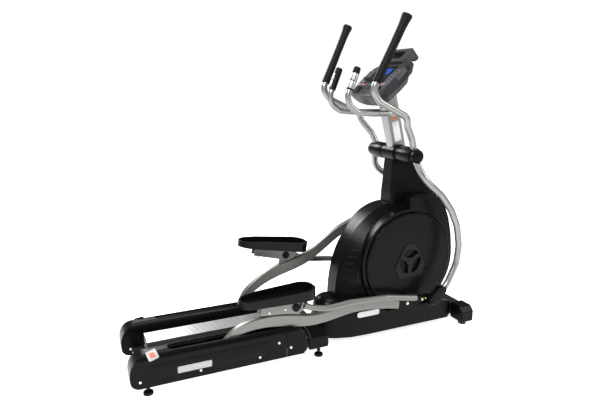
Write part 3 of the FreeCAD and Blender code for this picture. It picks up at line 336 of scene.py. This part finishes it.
looks = {
    "blackPlastic": dict(color=[0.0022, 0.0022, 0.0027], roughness=0.28, grain=900, depth=0.25,
                         dusting=0.03, specular=0.10, scratches=0.1),
    "darkPanel": dict(color=[0.0032, 0.0034, 0.0044], roughness=0.24, grain=900, depth=0.2,
                      dusting=0.03, specular=0.14),
    "deepBlack": dict(color=[0.003, 0.003, 0.003], roughness=0.5, grain=700, depth=0.3,
                      dusting=0.03, specular=0.1),
    "darkSteel": dict(color=[0.012, 0.012, 0.013], roughness=0.38, metallic=0.2, grain=500,
                      depth=0.3, scratches=0.15),
    "silverPaint": dict(color=[0.27, 0.27, 0.262], roughness=0.36, metallic=0.8, grain=1400,
                        depth=0.15, coat=0.12, dusting=0.15),
    "armPaint": dict(color=[0.165, 0.162, 0.152], roughness=0.36, metallic=0.55, grain=1300,
                     depth=0.2, coat=0.12, dusting=0.2, scratches=0.08),
    "mastPaint": dict(color=[0.30, 0.30, 0.29], roughness=0.34, metallic=0.8, grain=1400,
                      depth=0.15, coat=0.15),
    "foamGrip": dict(color=[0.0026, 0.0026, 0.003], roughness=0.55, grain=1500, depth=0.8,
                     dusting=0.04, specular=0.12),
    "pedalRubber": dict(color=[0.0022, 0.0022, 0.0026], roughness=0.24, grain=700, depth=0.5,
                        dusting=0.04, specular=0.14),
    "softRubber": dict(color=[0.006, 0.006, 0.006], roughness=0.55, grain=600, depth=0.6,
                       dusting=0.08, specular=0.15),
    "aluminium": dict(color=[0.66, 0.67, 0.68], roughness=0.33, metallic=0.85, grain=900, depth=0.2,
                      scratches=0.1),
    "bareSteel": dict(color=[0.50, 0.50, 0.49], roughness=0.28, metallic=0.95, grain=800,
                      depth=0.05, scratches=0.15),
    "consoleGrey": dict(color=[0.020, 0.021, 0.024], roughness=0.4, grain=900, depth=0.3,
                        dusting=0.1, specular=0.25),
    "consoleFace": dict(color=[0.023, 0.024, 0.027], roughness=0.4, grain=900, depth=0.3,
                        dusting=0.1, specular=0.3),
    "consoleShell": dict(color=[0.010, 0.0105, 0.012], roughness=0.38, grain=900, depth=0.3,
                         dusting=0.08, specular=0.22),
    "sensorSteel": dict(color=[0.42, 0.42, 0.41], roughness=0.38, metallic=0.85, grain=800,
                        depth=0.05),
    "consoleSilver": dict(color=[0.10, 0.104, 0.112], roughness=0.36, metallic=0.3, grain=900,
                          depth=0.3),
    "screwWhite": dict(color=[0.75, 0.75, 0.74], roughness=0.28, metallic=0.6, grain=900,
                       depth=0.1),
    "labelWhite": dict(color=[0.72, 0.73, 0.74], roughness=0.3, grain=900, depth=0.1, coat=0.3),
    "labelGrey": dict(color=[0.33, 0.335, 0.34], roughness=0.35, grain=900, depth=0.1, coat=0.3),
    "labelRed": dict(color=[0.55, 0.10, 0.035], roughness=0.35, grain=900, depth=0.1, coat=0.3),
    "markYellow": dict(color=[0.75, 0.6, 0.03], roughness=0.4, grain=900, depth=0.1),
    "pulleyPlastic": dict(color=[0.05, 0.05, 0.05], roughness=0.5, grain=700, depth=0.4),
    "rollerPlastic": dict(color=[0.6, 0.58, 0.52], roughness=0.35, grain=700, depth=0.3),
    "castWheel": dict(color=[0.13, 0.13, 0.14], roughness=0.45, metallic=0.8, grain=400, depth=0.6)}
finishes = {name: finishOf(name, look) for name, look in looks.items()}


consoleLean = math.radians(41)
litArea = dict(y=0.002, halfWidth=0.060, z=1.5435, halfHeight=0.0155)


def displayFinish():
    # dark glass window over a lit blue panel with faint segment rows
    material = bpy.data.materials.new("litDisplay")
    material.use_nodes = True
    tree = material.node_tree
    shader = tree.nodes["Principled BSDF"]
    coords = tree.nodes.new("ShaderNodeTexCoord")
    place = tree.nodes.new("ShaderNodeMapping")
    place.inputs["Rotation"].default_value = (0, consoleLean, 0)
    rows = tree.nodes.new("ShaderNodeTexBrick")
    rows.inputs["Scale"].default_value = 42
    rows.inputs["Mortar Size"].default_value = 0.12
    rows.inputs["Color1"].default_value = (0.012, 0.085, 0.42, 1)
    rows.inputs["Color2"].default_value = (0.025, 0.13, 0.56, 1)
    rows.inputs["Mortar"].default_value = (0.006, 0.03, 0.2, 1)
    tree.links.new(coords.outputs["Object"], place.inputs["Vector"])
    tree.links.new(place.outputs[0], rows.inputs["Vector"])
    axes = tree.nodes.new("ShaderNodeSeparateXYZ")
    tree.links.new(coords.outputs["Object"], axes.inputs[0])
    inHeight = mathNode(tree, "COMPARE", axes.outputs["Z"], litArea["z"])
    inHeight.node.inputs[2].default_value = litArea["halfHeight"]
    inWidth = mathNode(tree, "COMPARE", axes.outputs["Y"], litArea["y"])
    inWidth.node.inputs[2].default_value = litArea["halfWidth"]
    glass = tree.nodes.new("ShaderNodeMix")
    glass.data_type = "RGBA"
    glass.inputs[6].default_value = (0.004, 0.005, 0.009, 1)
    tree.links.new(mathNode(tree, "MULTIPLY", inHeight, inWidth), glass.inputs[0])
    tree.links.new(rows.outputs["Color"], glass.inputs[7])
    tree.links.new(glass.outputs[2], shader.inputs["Base Color"])
    tree.links.new(glass.outputs[2], shader.inputs["Emission Color"])
    shader.inputs["Emission Strength"].default_value = 0.8
    noise = tree.nodes.new("ShaderNodeTexNoise")
    noise.inputs["Scale"].default_value = 30
    tree.links.new(coords.outputs["Object"], noise.inputs["Vector"])
    tree.links.new(mathNode(tree, "MULTIPLY", noise.outputs[0], 0.2), shader.inputs["Roughness"])
    return material


finishes["litDisplay"] = displayFinish()


ribPitch = 0.0145  # from one rib of the centre beam to the next


def beamPaintedRibLight():
    # extruded aluminium with painted light: painted highlights on the bright rib lands and painted shade in the
    # darker valleys, in bands running along the beam
    material = finishOf("beamAluminiumPaintedRibShade", looks["aluminium"])
    tree = material.node_tree
    shader = tree.nodes["Principled BSDF"]
    coords = tree.nodes.new("ShaderNodeTexCoord")
    ribShadeBands = tree.nodes.new("ShaderNodeTexWave")
    ribShadeBands.bands_direction = "Y"
    ribShadeBands.inputs["Scale"].default_value = 2 * math.pi / (20 * ribPitch)
    tree.links.new(coords.outputs["Object"], ribShadeBands.inputs["Vector"])
    # the dark colour is painted shade in the rib valleys and the bright colour is a painted highlight on the rib
    # lands
    ribLightAndShade = tree.nodes.new("ShaderNodeMix")
    ribLightAndShade.data_type = "RGBA"
    ribLightAndShade.inputs[6].default_value = (0.22, 0.225, 0.23, 1)
    ribLightAndShade.inputs[7].default_value = (0.80, 0.81, 0.82, 1)
    tree.links.new(ribShadeBands.outputs["Fac"], ribLightAndShade.inputs[0])
    tree.links.new(ribLightAndShade.outputs[2], shader.inputs["Base Color"])
    return material


finishes["beamAluminiumPaintedRibShade"] = beamPaintedRibLight()

finishBySlot = {
    "dark_steel": "darkSteel", "black_plastic": "blackPlastic", "dark_panel": "darkPanel",
    "black_rubber": "softRubber", "bare_steel": "bareSteel", "aluminium": "aluminium",
    "mast_paint": "mastPaint", "silver_paint": "silverPaint", "arm_paint": "armPaint",
    "soft_grip": "foamGrip", "pedal_rubber": "pedalRubber", "console_grey": "consoleGrey",
    "display": "litDisplay", "pulley_plastic": "pulleyPlastic", "roller_plastic": "rollerPlastic",
    "belt_rubber": "softRubber", "cast_wheel": "castWheel", "magnet_steel": "darkSteel"}

finishByNode = {
    "swing_barrel_right": "blackPlastic", "swing_barrel_left": "blackPlastic",
    # the centre beam's finish carries painted highlights and painted shade across its ribs
    "centre_beam": "beamAluminiumPaintedRibShade", "console_front": "consoleFace", "console_back": "consoleShell"}

for part in frame["record"]["subparts"]:
    piece = nodes[part["node"]]
    finish = finishByNode.get(part["node"], finishBySlot[part["material_slot"]])
    piece.data.materials.clear()
    piece.data.materials.append(finishes[finish])
print("finishes laid on the frame")


# screws, one model copied to every place

screw = dict(radius=0.0075, height=0.0042, chamfer=0.0013, socket=0.0036, depth=0.0025, sink=0.0006)
screwSize = dict(track=0.85, shell=0.8, hub=0.7, bracket=0.7, block=1.2, rodEnd=1.0, rodMark=0.7,
                 barrel=1.0)


def screwModel():
    obj = makeDisc("screwModel", screw["radius"], screw["height"], screw["chamfer"], sides=24)
    top = screw["height"] * 0.98
    editFaces(obj, lambda f: f.normal.z > 0.95 and f.center.z > top)
    bpy.ops.mesh.inset(thickness=screw["radius"] - screw["chamfer"] - screw["socket"])
    bpy.ops.mesh.extrude_region_move(TRANSFORM_OT_translate={"value": (0, 0, -screw["depth"])})
    leaveEdit()
    soften(obj)
    return obj


screwMaster = screwModel()
sides = (("right", -1), ("left", 1))
outsideY = 400  # where a ray starts, clear of the machine's flank


def putScrew(name, point, normal, body, size, finish="screwWhite"):
    foot = Vector(point) - Vector(normal).normalized() * screw["sink"]
    place = standing(foot, normal) @ Matrix.Scale(size, 4)
    obj = copyOf(screwMaster, name, place)
    dress(obj, body, finishes[finish])
    return obj


trackScrews = [(-40, 96), (250, 92), (560, 92), (668, 150), (735, 110)]
track = dict(middleY=180, halfWidth=50, searchReach=0.2)
for sideName, sign in sides:
    for k, (x, z) in enumerate(trackScrews):
        for face, reach in (("outer", sign), ("inner", -sign)):
            start = at(x, sign * track["middleY"], z) + Vector((0, reach * track["searchReach"], 0))
            point, normal = onSurface("track_cover_" + sideName, start, (0, -reach, 0))
            if point is None:
                continue
            putScrew("trackScrew_%s_%s_%d" % (sideName, face, k), point, normal, "frame",
                     screwSize["track"])
print("track screws placed")


# raised side panel and blank plates of each track cover

sidePanel = dict(length=0.60, height=0.072, thick=0.0022, corner=0.020, x=300, z=136, sink=0.0008)
namePlate = dict(length=0.170, height=0.034, thick=0.0030, corner=0.004, x=222, z=120, rim=0.0022,
                 lift=0.0006)
tailPlate = dict(side=0.050, thick=0.0012, corner=0.006, searchX=24, searchY=330, searchZ=330,
                 searchSlope=0.72, alongY=0.5, alongZ=0.9)
tailLayers = {"tailPlate": dict(size=1.0, finish="labelGrey", lift=-0.0004),
              "tailMark": dict(size=0.5, finish="labelRed", lift=0.0006)}


def trackPlates(sideName, sign):
    for face, reach in (("outer", sign), ("inner", -sign)):
        wallY = track["middleY"] * sign + track["halfWidth"] * reach
        panel = makePlate("sidePanel_%s_%s" % (sideName, face), sidePanel["length"],
                          sidePanel["height"], sidePanel["thick"], sidePanel["corner"])
        soften(panel)
        sink = Vector((0, -reach * sidePanel["sink"], 0))
        bakePlace(panel, standing(at(sidePanel["x"], wallY, sidePanel["z"]) + sink,
                                  (0, reach, 0), (1, 0, 0)))
        dress(panel, "frame", finishes["blackPlastic"])
    name = makePlate("namePlate_" + sideName, namePlate["length"], namePlate["height"],
                     namePlate["thick"], namePlate["corner"], namePlate["rim"])
    soften(name)
    wallY = sign * (track["middleY"] + track["halfWidth"])
    lift = Vector((0, sign * namePlate["lift"], 0))
    bakePlace(name, standing(at(namePlate["x"], wallY, namePlate["z"]) + lift,
                             (0, sign, 0), (1, 0, 0)))
    dress(name, "frame", finishes["labelGrey"])
    start = at(tailPlate["searchX"], sign * tailPlate["searchY"], tailPlate["searchZ"])
    heading = Vector((0, -sign, -1)) * tailPlate["searchSlope"]
    point, normal = onSurface("track_cover_" + sideName, start, heading)
    if point is None:
        return
    along = Vector((1, sign * tailPlate["alongY"], tailPlate["alongZ"]))
    for label, layer in tailLayers.items():
        side = tailPlate["side"] * layer["size"]
        tail = makePlate(label + "_" + sideName, side, side, tailPlate["thick"],
                         tailPlate["corner"] * layer["size"])
        soften(tail)
        bakePlace(tail, standing(point + normal * layer["lift"], normal, along))
        dress(tail, "frame", finishes[layer["finish"]])


for sideName, sign in sides:
    trackPlates(sideName, sign)
print("track plates placed")


# blank badge on each side of the base shroud

badge = dict(length=0.150, height=0.034, thick=0.003, corner=0.0165, rim=0.002, wallY=144.6, z=172,
             x={"right": 1262, "left": 1320})

for sideName, sign in sides:
    plate = makePlate("shroudBadge_" + sideName, badge["length"], badge["height"], badge["thick"],
                      badge["corner"], badge["rim"])
    soften(plate)
    bakePlace(plate, standing(at(badge["x"][sideName], sign * badge["wallY"], badge["z"]),
                              (0, sign, 0), (1, 0, 0)))
    dress(plate, "frame", finishes["labelWhite"])
print("shroud badges placed")


# housing vents on each flank

vent = dict(count=7, length=0.066, width=0.012, thick=0.0045, corner=0.0055, rim=0.0018, sink=0.0022,
            lowZ=322, highZ=548, flankY=90, searchX=900)


def ventRow(sideName, sign):
    for k in range(vent["count"]):
        z = vent["lowZ"] + (vent["highZ"] - vent["lowZ"]) * k / (vent["count"] - 1)
        start = at(vent["searchX"], sign * vent["flankY"], z)
        point, normal = onSurface("side_shell_" + sideName, start, (1, 0, 0))
        if point is None:
            continue
        along = normal.cross(Vector((0, 0, 1)))
        slat = makePlate("vent_%s_%d" % (sideName, k), vent["length"], vent["width"], vent["thick"],
                         vent["corner"], vent["rim"])
        soften(slat)
        bakePlace(slat, standing(point - normal * vent["sink"], normal, along))
        dress(slat, "frame", finishes["deepBlack"])


for sideName, sign in sides:
    ventRow(sideName, sign)
print("vents placed")

# a few screws on the shell flanks

shellScrews = [(1120, 470), (1300, 690), (1480, 800), (1190, 210), (1810, 620)]

for sideName, sign in sides:
    for k, (x, z) in enumerate(shellScrews):
        point, normal = onSurface("side_shell_" + sideName, at(x, sign * outsideY, z), (0, -sign, 0))
        if point is None:
            continue
        putScrew("shellScrew_%s_%d" % (sideName, k), point, normal, "frame", screwSize["shell"],
                 "deepBlack")

# disc centre, rim and hub details

disc = dict(middle=at(1525, 0, 458), faceY=0.162, ringFlat=0.7, hubScrewOut=0.066, hubScrewLift=0.005)
discRings = {"discRimRing": dict(radius=0.280, tube=0.0035),
             "discHubRing": dict(radius=0.150, tube=0.0016)}


def discRing(name, radius, tube, place):
    freshStart()
    bpy.ops.mesh.primitive_torus_add(major_radius=radius, minor_radius=tube, major_segments=96,
                                     minor_segments=12)
    obj = bpy.context.object
    obj.name = obj.data.name = name
    obj.scale = (1, 1, disc["ringFlat"])
    soften(obj, 60)
    bakePlace(obj, place)
    dress(obj, "crank", finishes["blackPlastic"])


for sideName, sign in sides:
    face = Vector((disc["middle"].x, sign * disc["faceY"], disc["middle"].z))
    for label, ring in discRings.items():
        discRing("%s_%s" % (label, sideName), ring["radius"], ring["tube"],
                 standing(face, (0, sign, 0)))
    for k in range(3):
        turn = math.radians(90 + 120 * k)
        offset = Vector((math.cos(turn), 0, math.sin(turn))) * disc["hubScrewOut"]
        lift = Vector((0, sign * disc["hubScrewLift"], 0))
        putScrew("hubScrew_%s_%d" % (sideName, k), face + lift + offset, (0, sign, 0), "crank",
                 screwSize["hub"], "darkPanel")
print("disc details placed")


# link brackets, bearing blocks and joint covers

def nodeMiddle(node):
    low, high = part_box(node)
    return (Vector(low) + Vector(high)) / 2


barrel = dict(x=1497, z=1084, endY=232, capRadius=0.030, capHeight=0.004, capChamfer=0.0015,
              capSink=0.0005, screwLift=0.0035)
boss = dict(radius=0.047, innerY=80, length=0.122, rim=0.006, wall=0.0035)


def jointBoss(sideName, sign):
    # thick sleeve round the swing arm's pivot barrel
    obj = makeDisc("jointBoss_" + sideName, boss["radius"], boss["length"], boss["rim"], sides=72)
    editEdges(obj, lambda a, b: a.z < 0.0001 and b.z < 0.0001)
    bpy.ops.mesh.bevel(offset=boss["rim"], segments=3, affect="EDGES")
    leaveEdit()
    editFaces(obj, lambda f: abs(f.normal.z) > 0.99)
    bpy.ops.mesh.inset(thickness=boss["wall"])
    bpy.ops.mesh.bridge_edge_loops()
    bpy.ops.mesh.select_all(action="SELECT")
    bpy.ops.mesh.normals_make_consistent(inside=False)
    leaveEdit()
    soften(obj)
    bakePlace(obj, standing(at(barrel["x"], sign * boss["innerY"], barrel["z"]), (0, sign, 0)))
    dress(obj, "swing_" + sideName, finishes["blackPlastic"])


pivots = {joint["name"]: Vector(joint["pos_m"]) for joint in frame["joints"] if "pos_m" in joint}

bracket = dict(capRadius=0.021, capHeight=0.006, capChamfer=0.002, capSink=0.0004, searchBack=0.004,
               searchOuter=0.4, searchInner=0.05, screwY=0.213,
               screws=[(-0.150, -0.006), (-0.060, -0.002)])
blockScrew = dict(x=0.006, z=0.004)
rodEnd = dict(faceY=0.239, screwX=-0.020, screwZ=0.002, markX=0.004, markZ=0.004)

for sideName, sign in sides:
    arm, link, swing = "arm_" + sideName, "link_" + sideName, "swing_" + sideName
    outward = (0, sign, 0)
    pivot = pivots["pedal_pivot_" + sideName]
    for face, startY, heading in (("outer", bracket["searchOuter"], -sign),
                                  ("inner", bracket["searchInner"], sign)):
        start = (pivot.x - bracket["searchBack"], sign * startY, pivot.z)
        point, normal = onSurface("pedal_link_" + sideName, start, (0, heading, 0))
        if point is None:
            continue
        cap = makeDisc("bracketCap_%s_%s" % (sideName, face), bracket["capRadius"],
                       bracket["capHeight"], bracket["capChamfer"])
        soften(cap)
        capY = point.y + heading * bracket["capSink"]
        bakePlace(cap, standing((pivot.x, capY, pivot.z), (0, -heading, 0)))
        dress(cap, link, finishes["blackPlastic"])
    for k, (x, z) in enumerate(bracket["screws"]):
        place = (pivot.x + x, sign * bracket["screwY"], pivot.z + z)
        putScrew("bracketScrew_%s_%d" % (sideName, k), place, outward, link,
                 screwSize["bracket"])
    low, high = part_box("bearing_block_" + sideName)
    block = nodeMiddle("bearing_block_" + sideName)
    blockFace = max(abs(low[1]), abs(high[1]))
    putScrew("blockScrew_" + sideName,
             (block.x + blockScrew["x"], sign * blockFace, block.z + blockScrew["z"]), outward, arm,
             screwSize["block"])
    joint = nodeMiddle("rod_end_" + sideName)
    jointY = sign * rodEnd["faceY"]
    putScrew("rodEndScrew_" + sideName,
             (joint.x + rodEnd["screwX"], jointY, joint.z + rodEnd["screwZ"]), outward, link,
             screwSize["rodEnd"])
    putScrew("rodEndMark_" + sideName,
             (joint.x + rodEnd["markX"], jointY, joint.z + rodEnd["markZ"]), outward, link,
             screwSize["rodMark"], "markYellow")
    barrelEnd = at(barrel["x"], sign * barrel["endY"], barrel["z"])
    endCap = makeDisc("barrelCap_" + sideName, barrel["capRadius"], barrel["capHeight"],
                      barrel["capChamfer"])
    soften(endCap)
    bakePlace(endCap, standing(barrelEnd - Vector((0, sign * barrel["capSink"], 0)), outward))
    dress(endCap, swing, finishes["blackPlastic"])
    putScrew("barrelScrew_" + sideName, barrelEnd + Vector((0, sign * barrel["screwLift"], 0)),
             outward, swing, screwSize["barrel"], "darkPanel")
    jointBoss(sideName, sign)
print("linkage details placed")


# sensor bands on the fixed grips

sensor = dict(radius=0.0202, length=0.040, bevel=0.0006, low=(1121, 101, 1412), tip=(1178, 100, 1556),
              shares=(0.40, 0.68), cutX=-0.5, cutY=0.87)


def sensorBands(sideName, sign):
    low, tip = (at(x, sign * y, z) for x, y, z in (sensor["low"], sensor["tip"]))
    axis = tip - low
    for k, share in enumerate(sensor["shares"]):
        freshStart()
        bpy.ops.mesh.primitive_cylinder_add(vertices=40, radius=sensor["radius"],
                                            depth=sensor["length"])
        band = bpy.context.object
        band.name = band.data.name = "sensorBand_%s_%d" % (sideName, k)
        editEdges(band, lambda a, b: a.z * b.z > 0 and abs(abs(a.z) - abs(b.z)) < 1e-6)
        bpy.ops.mesh.bevel(offset=sensor["bevel"], segments=2, affect="EDGES")
        leaveEdit()
        bakePlace(band, standing(low + axis * share, axis, (1, 0, 0)))
        editFaces(band, lambda f: True)
        bpy.ops.mesh.bisect(plane_co=low + axis * share, use_fill=True, clear_inner=True,
                            plane_no=(sensor["cutX"], sign * sensor["cutY"], 0))
        leaveEdit()
        soften(band)
        dress(band, "frame", finishes["sensorSteel"])


for sideName, sign in sides:
    sensorBands(sideName, sign)


# console face

consoleLow = at(1262, 0, 1412)
faceUp = Vector((math.cos(consoleLean), 0, math.sin(consoleLean)))
faceOut = Vector((-math.sin(consoleLean), 0, math.cos(consoleLean)))


def onFace(u, y, out=0.0):
    return standing(consoleLow + faceUp * u + Vector((0, y, 0)) + faceOut * out, faceOut, faceUp)


consolePlates = [
    # name, u, y, length, width, thick, corner, finish, slot
    ("displayFrameTop", 0.235, 0.0, 0.012, 0.176, 0.003, 0.003, "deepBlack", "dark_panel"),
    ("displayFrameLow", 0.142, 0.0, 0.012, 0.176, 0.003, 0.003, "deepBlack", "dark_panel"),
    ("displayFrameRight", 0.189, -0.084, 0.104, 0.012, 0.003, 0.003, "deepBlack", "dark_panel"),
    ("displayFrameLeft", 0.189, 0.084, 0.104, 0.012, 0.003, 0.003, "deepBlack", "dark_panel"),
    ("sidePadRight", 0.150, -0.130, 0.120, 0.050, 0.004, 0.010, "consoleSilver", "console_grey"),
    ("sidePadLeft", 0.150, 0.130, 0.120, 0.050, 0.004, 0.010, "consoleSilver", "console_grey"),
    ("speakerRight", 0.048, -0.098, 0.050, 0.060, 0.004, 0.012, "deepBlack", "dark_panel"),
    ("speakerLeft", 0.048, 0.098, 0.050, 0.060, 0.004, 0.012, "deepBlack", "dark_panel"),
    ("orangeBarRight", 0.094, -0.090, 0.008, 0.034, 0.002, 0.002, "labelRed", "console_grey"),
    ("orangeBarLeft", 0.094, 0.090, 0.008, 0.034, 0.002, 0.002, "labelRed", "console_grey"),
    ("keyField", 0.094, 0.0, 0.012, 0.110, 0.002, 0.004, "consoleSilver", "console_grey"),
    ("topTrayMat", 0.318, 0.0, 0.050, 0.112, 0.003, 0.006, "softRubber", "black_rubber")]
trayDepth = -0.0125  # the mat lies on the floor of the tray
padButton = dict(count=10, length=0.012, width=0.022, thick=0.003, corner=0.004, lowU=0.104,
                 pitch=0.022, y=0.130, lift=0.0028)

for name, u, y, length, width, thick, corner, finish, slotName in consolePlates:
    plate = makePlate(name, length, width, thick, corner)
    soften(plate)
    sink = trayDepth if name == "topTrayMat" else -0.0006
    bakePlace(plate, onFace(u, y, sink))
    dress(plate, "frame", finishes[finish])

for k in range(padButton["count"]):
    side = -1 if k % 2 else 1
    button = makePlate("padButton_%d" % k, padButton["length"], padButton["width"],
                       padButton["thick"], padButton["corner"])
    soften(button)
    bakePlace(button, onFace(padButton["lowU"] + k // 2 * padButton["pitch"], side * padButton["y"],
                             padButton["lift"]))
    dress(button, "frame", finishes["consoleGrey"])
print("console dressed")


# mast plate

mastAlong = (-0.254, 0, 1)  # the mast leans back as it rises
labelThick, labelCorner = 0.0014, 0.003
mastLabels = {
    "mastLabel": dict(x=1488, z=1210, length=0.115, width=0.044, finish="labelWhite"),
    "mastStrip": dict(x=1469, z=1284, length=0.012, width=0.044, finish="labelRed")}

for name, spec in mastLabels.items():
    for sideName, sign in sides:
        point, normal = onSurface("mast", at(spec["x"], sign * outsideY, spec["z"]), (0, -sign, 0))
        if point is None:
            continue
        label = makePlate("%s_%s" % (name, sideName), spec["length"], spec["width"], labelThick,
                          labelCorner)
        soften(label)
        bakePlace(label, standing(point - normal * 0.0008, normal, mastAlong))
        dress(label, "frame", finishes[spec["finish"]])
print("mast labels placed")

bpy.data.objects.remove(screwMaster)
print("pieces done")


# floor, light and camera

studio = dict(floorSize=60, floorDrop=0.0005, floorGlow=0.5, floorLift=0.38, sky=0.16, paper=1.3)

freshStart()
bpy.ops.mesh.primitive_plane_add(size=studio["floorSize"], location=(0, 0, -studio["floorDrop"]))
floor = bpy.context.object
floor.name = "studioFloor"
floorPaint = bpy.data.materials.new("paleFloor")
floorPaint.use_nodes = True
floorTree = floorPaint.node_tree
floorShader = floorTree.nodes["Principled BSDF"]
floorShader.inputs["Base Color"].default_value = (0.93, 0.93, 0.93, 1)
floorShader.inputs["Roughness"].default_value = 0.75
floorShader.inputs["Emission Color"].default_value = (1, 1, 1, 1)
seen = floorTree.nodes.new("ShaderNodeLightPath")
lifted = mathNode(floorTree, "MULTIPLY", seen.outputs["Is Camera Ray"], studio["floorLift"])
glow = mathNode(floorTree, "ADD", lifted, studio["floorGlow"])
floorTree.links.new(glow, floorShader.inputs["Emission Strength"])
floor.data.materials.append(floorPaint)
floor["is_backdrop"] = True

# a dim sky lights the object, and the camera sees plain white behind it
world = bpy.context.scene.world or bpy.data.worlds.new("studio")
bpy.context.scene.world = world
world.use_nodes = True
sky = world.node_tree
background = sky.nodes.get("Background") or sky.nodes.new("ShaderNodeBackground")
background.inputs["Color"].default_value = (1, 1, 1, 1)
background.inputs["Strength"].default_value = studio["sky"]
lightPath = sky.nodes.new("ShaderNodeLightPath")
paper = sky.nodes.new("ShaderNodeBackground")
paper.inputs["Strength"].default_value = studio["paper"]
blendSky = sky.nodes.new("ShaderNodeMixShader")
sky.links.new(lightPath.outputs["Is Camera Ray"], blendSky.inputs[0])
sky.links.new(background.outputs[0], blendSky.inputs[1])
sky.links.new(paper.outputs[0], blendSky.inputs[2])
sky.links.new(blendSky.outputs[0], sky.nodes["World Output"].inputs["Surface"])

lampAim = Vector((0, 0, 0.8))
studioLights = {
    "keyLight": dict(place=(-2.4, -2.6, 4.0), size=1.6, power=260),
    "fillLight": dict(place=(3.4, -2.4, 2.6), size=1.4, power=70),
    "rimLight": dict(place=(-1.0, 3.6, 3.2), size=1.6, power=160),
    "topLight": dict(place=(0.4, -0.2, 4.6), size=2.2, power=120)}
for name, spec in studioLights.items():
    lamp = bpy.data.lights.new(name, "AREA")
    lamp.size = spec["size"]
    lamp.energy = spec["power"]
    holder = bpy.data.objects.new(name, lamp)
    holder.location = spec["place"]
    holder.rotation_euler = (lampAim - Vector(spec["place"])).to_track_quat("-Z", "Y").to_euler()
    bpy.context.collection.objects.link(holder)

view = dict(place=(-1.2561, -2.6121, 1.4696), pitch=0.2128, yaw=0.4236, lens=31.93, sensor=36)
camera = bpy.data.cameras.new("studioCamera")
camera.lens = view["lens"]
camera.sensor_width = view["sensor"]
cameraHolder = bpy.data.objects.new("studioCamera", camera)
cameraHolder.location = view["place"]
cameraHolder.rotation_euler = (math.pi / 2 - view["pitch"], 0, -view["yaw"])
bpy.context.collection.objects.link(cameraHolder)
bpy.context.scene.camera = cameraHolder
bpy.context.scene.view_settings.view_transform = "Standard"
bpy.context.scene.view_settings.look = "None"
print("stage set")

low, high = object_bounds()
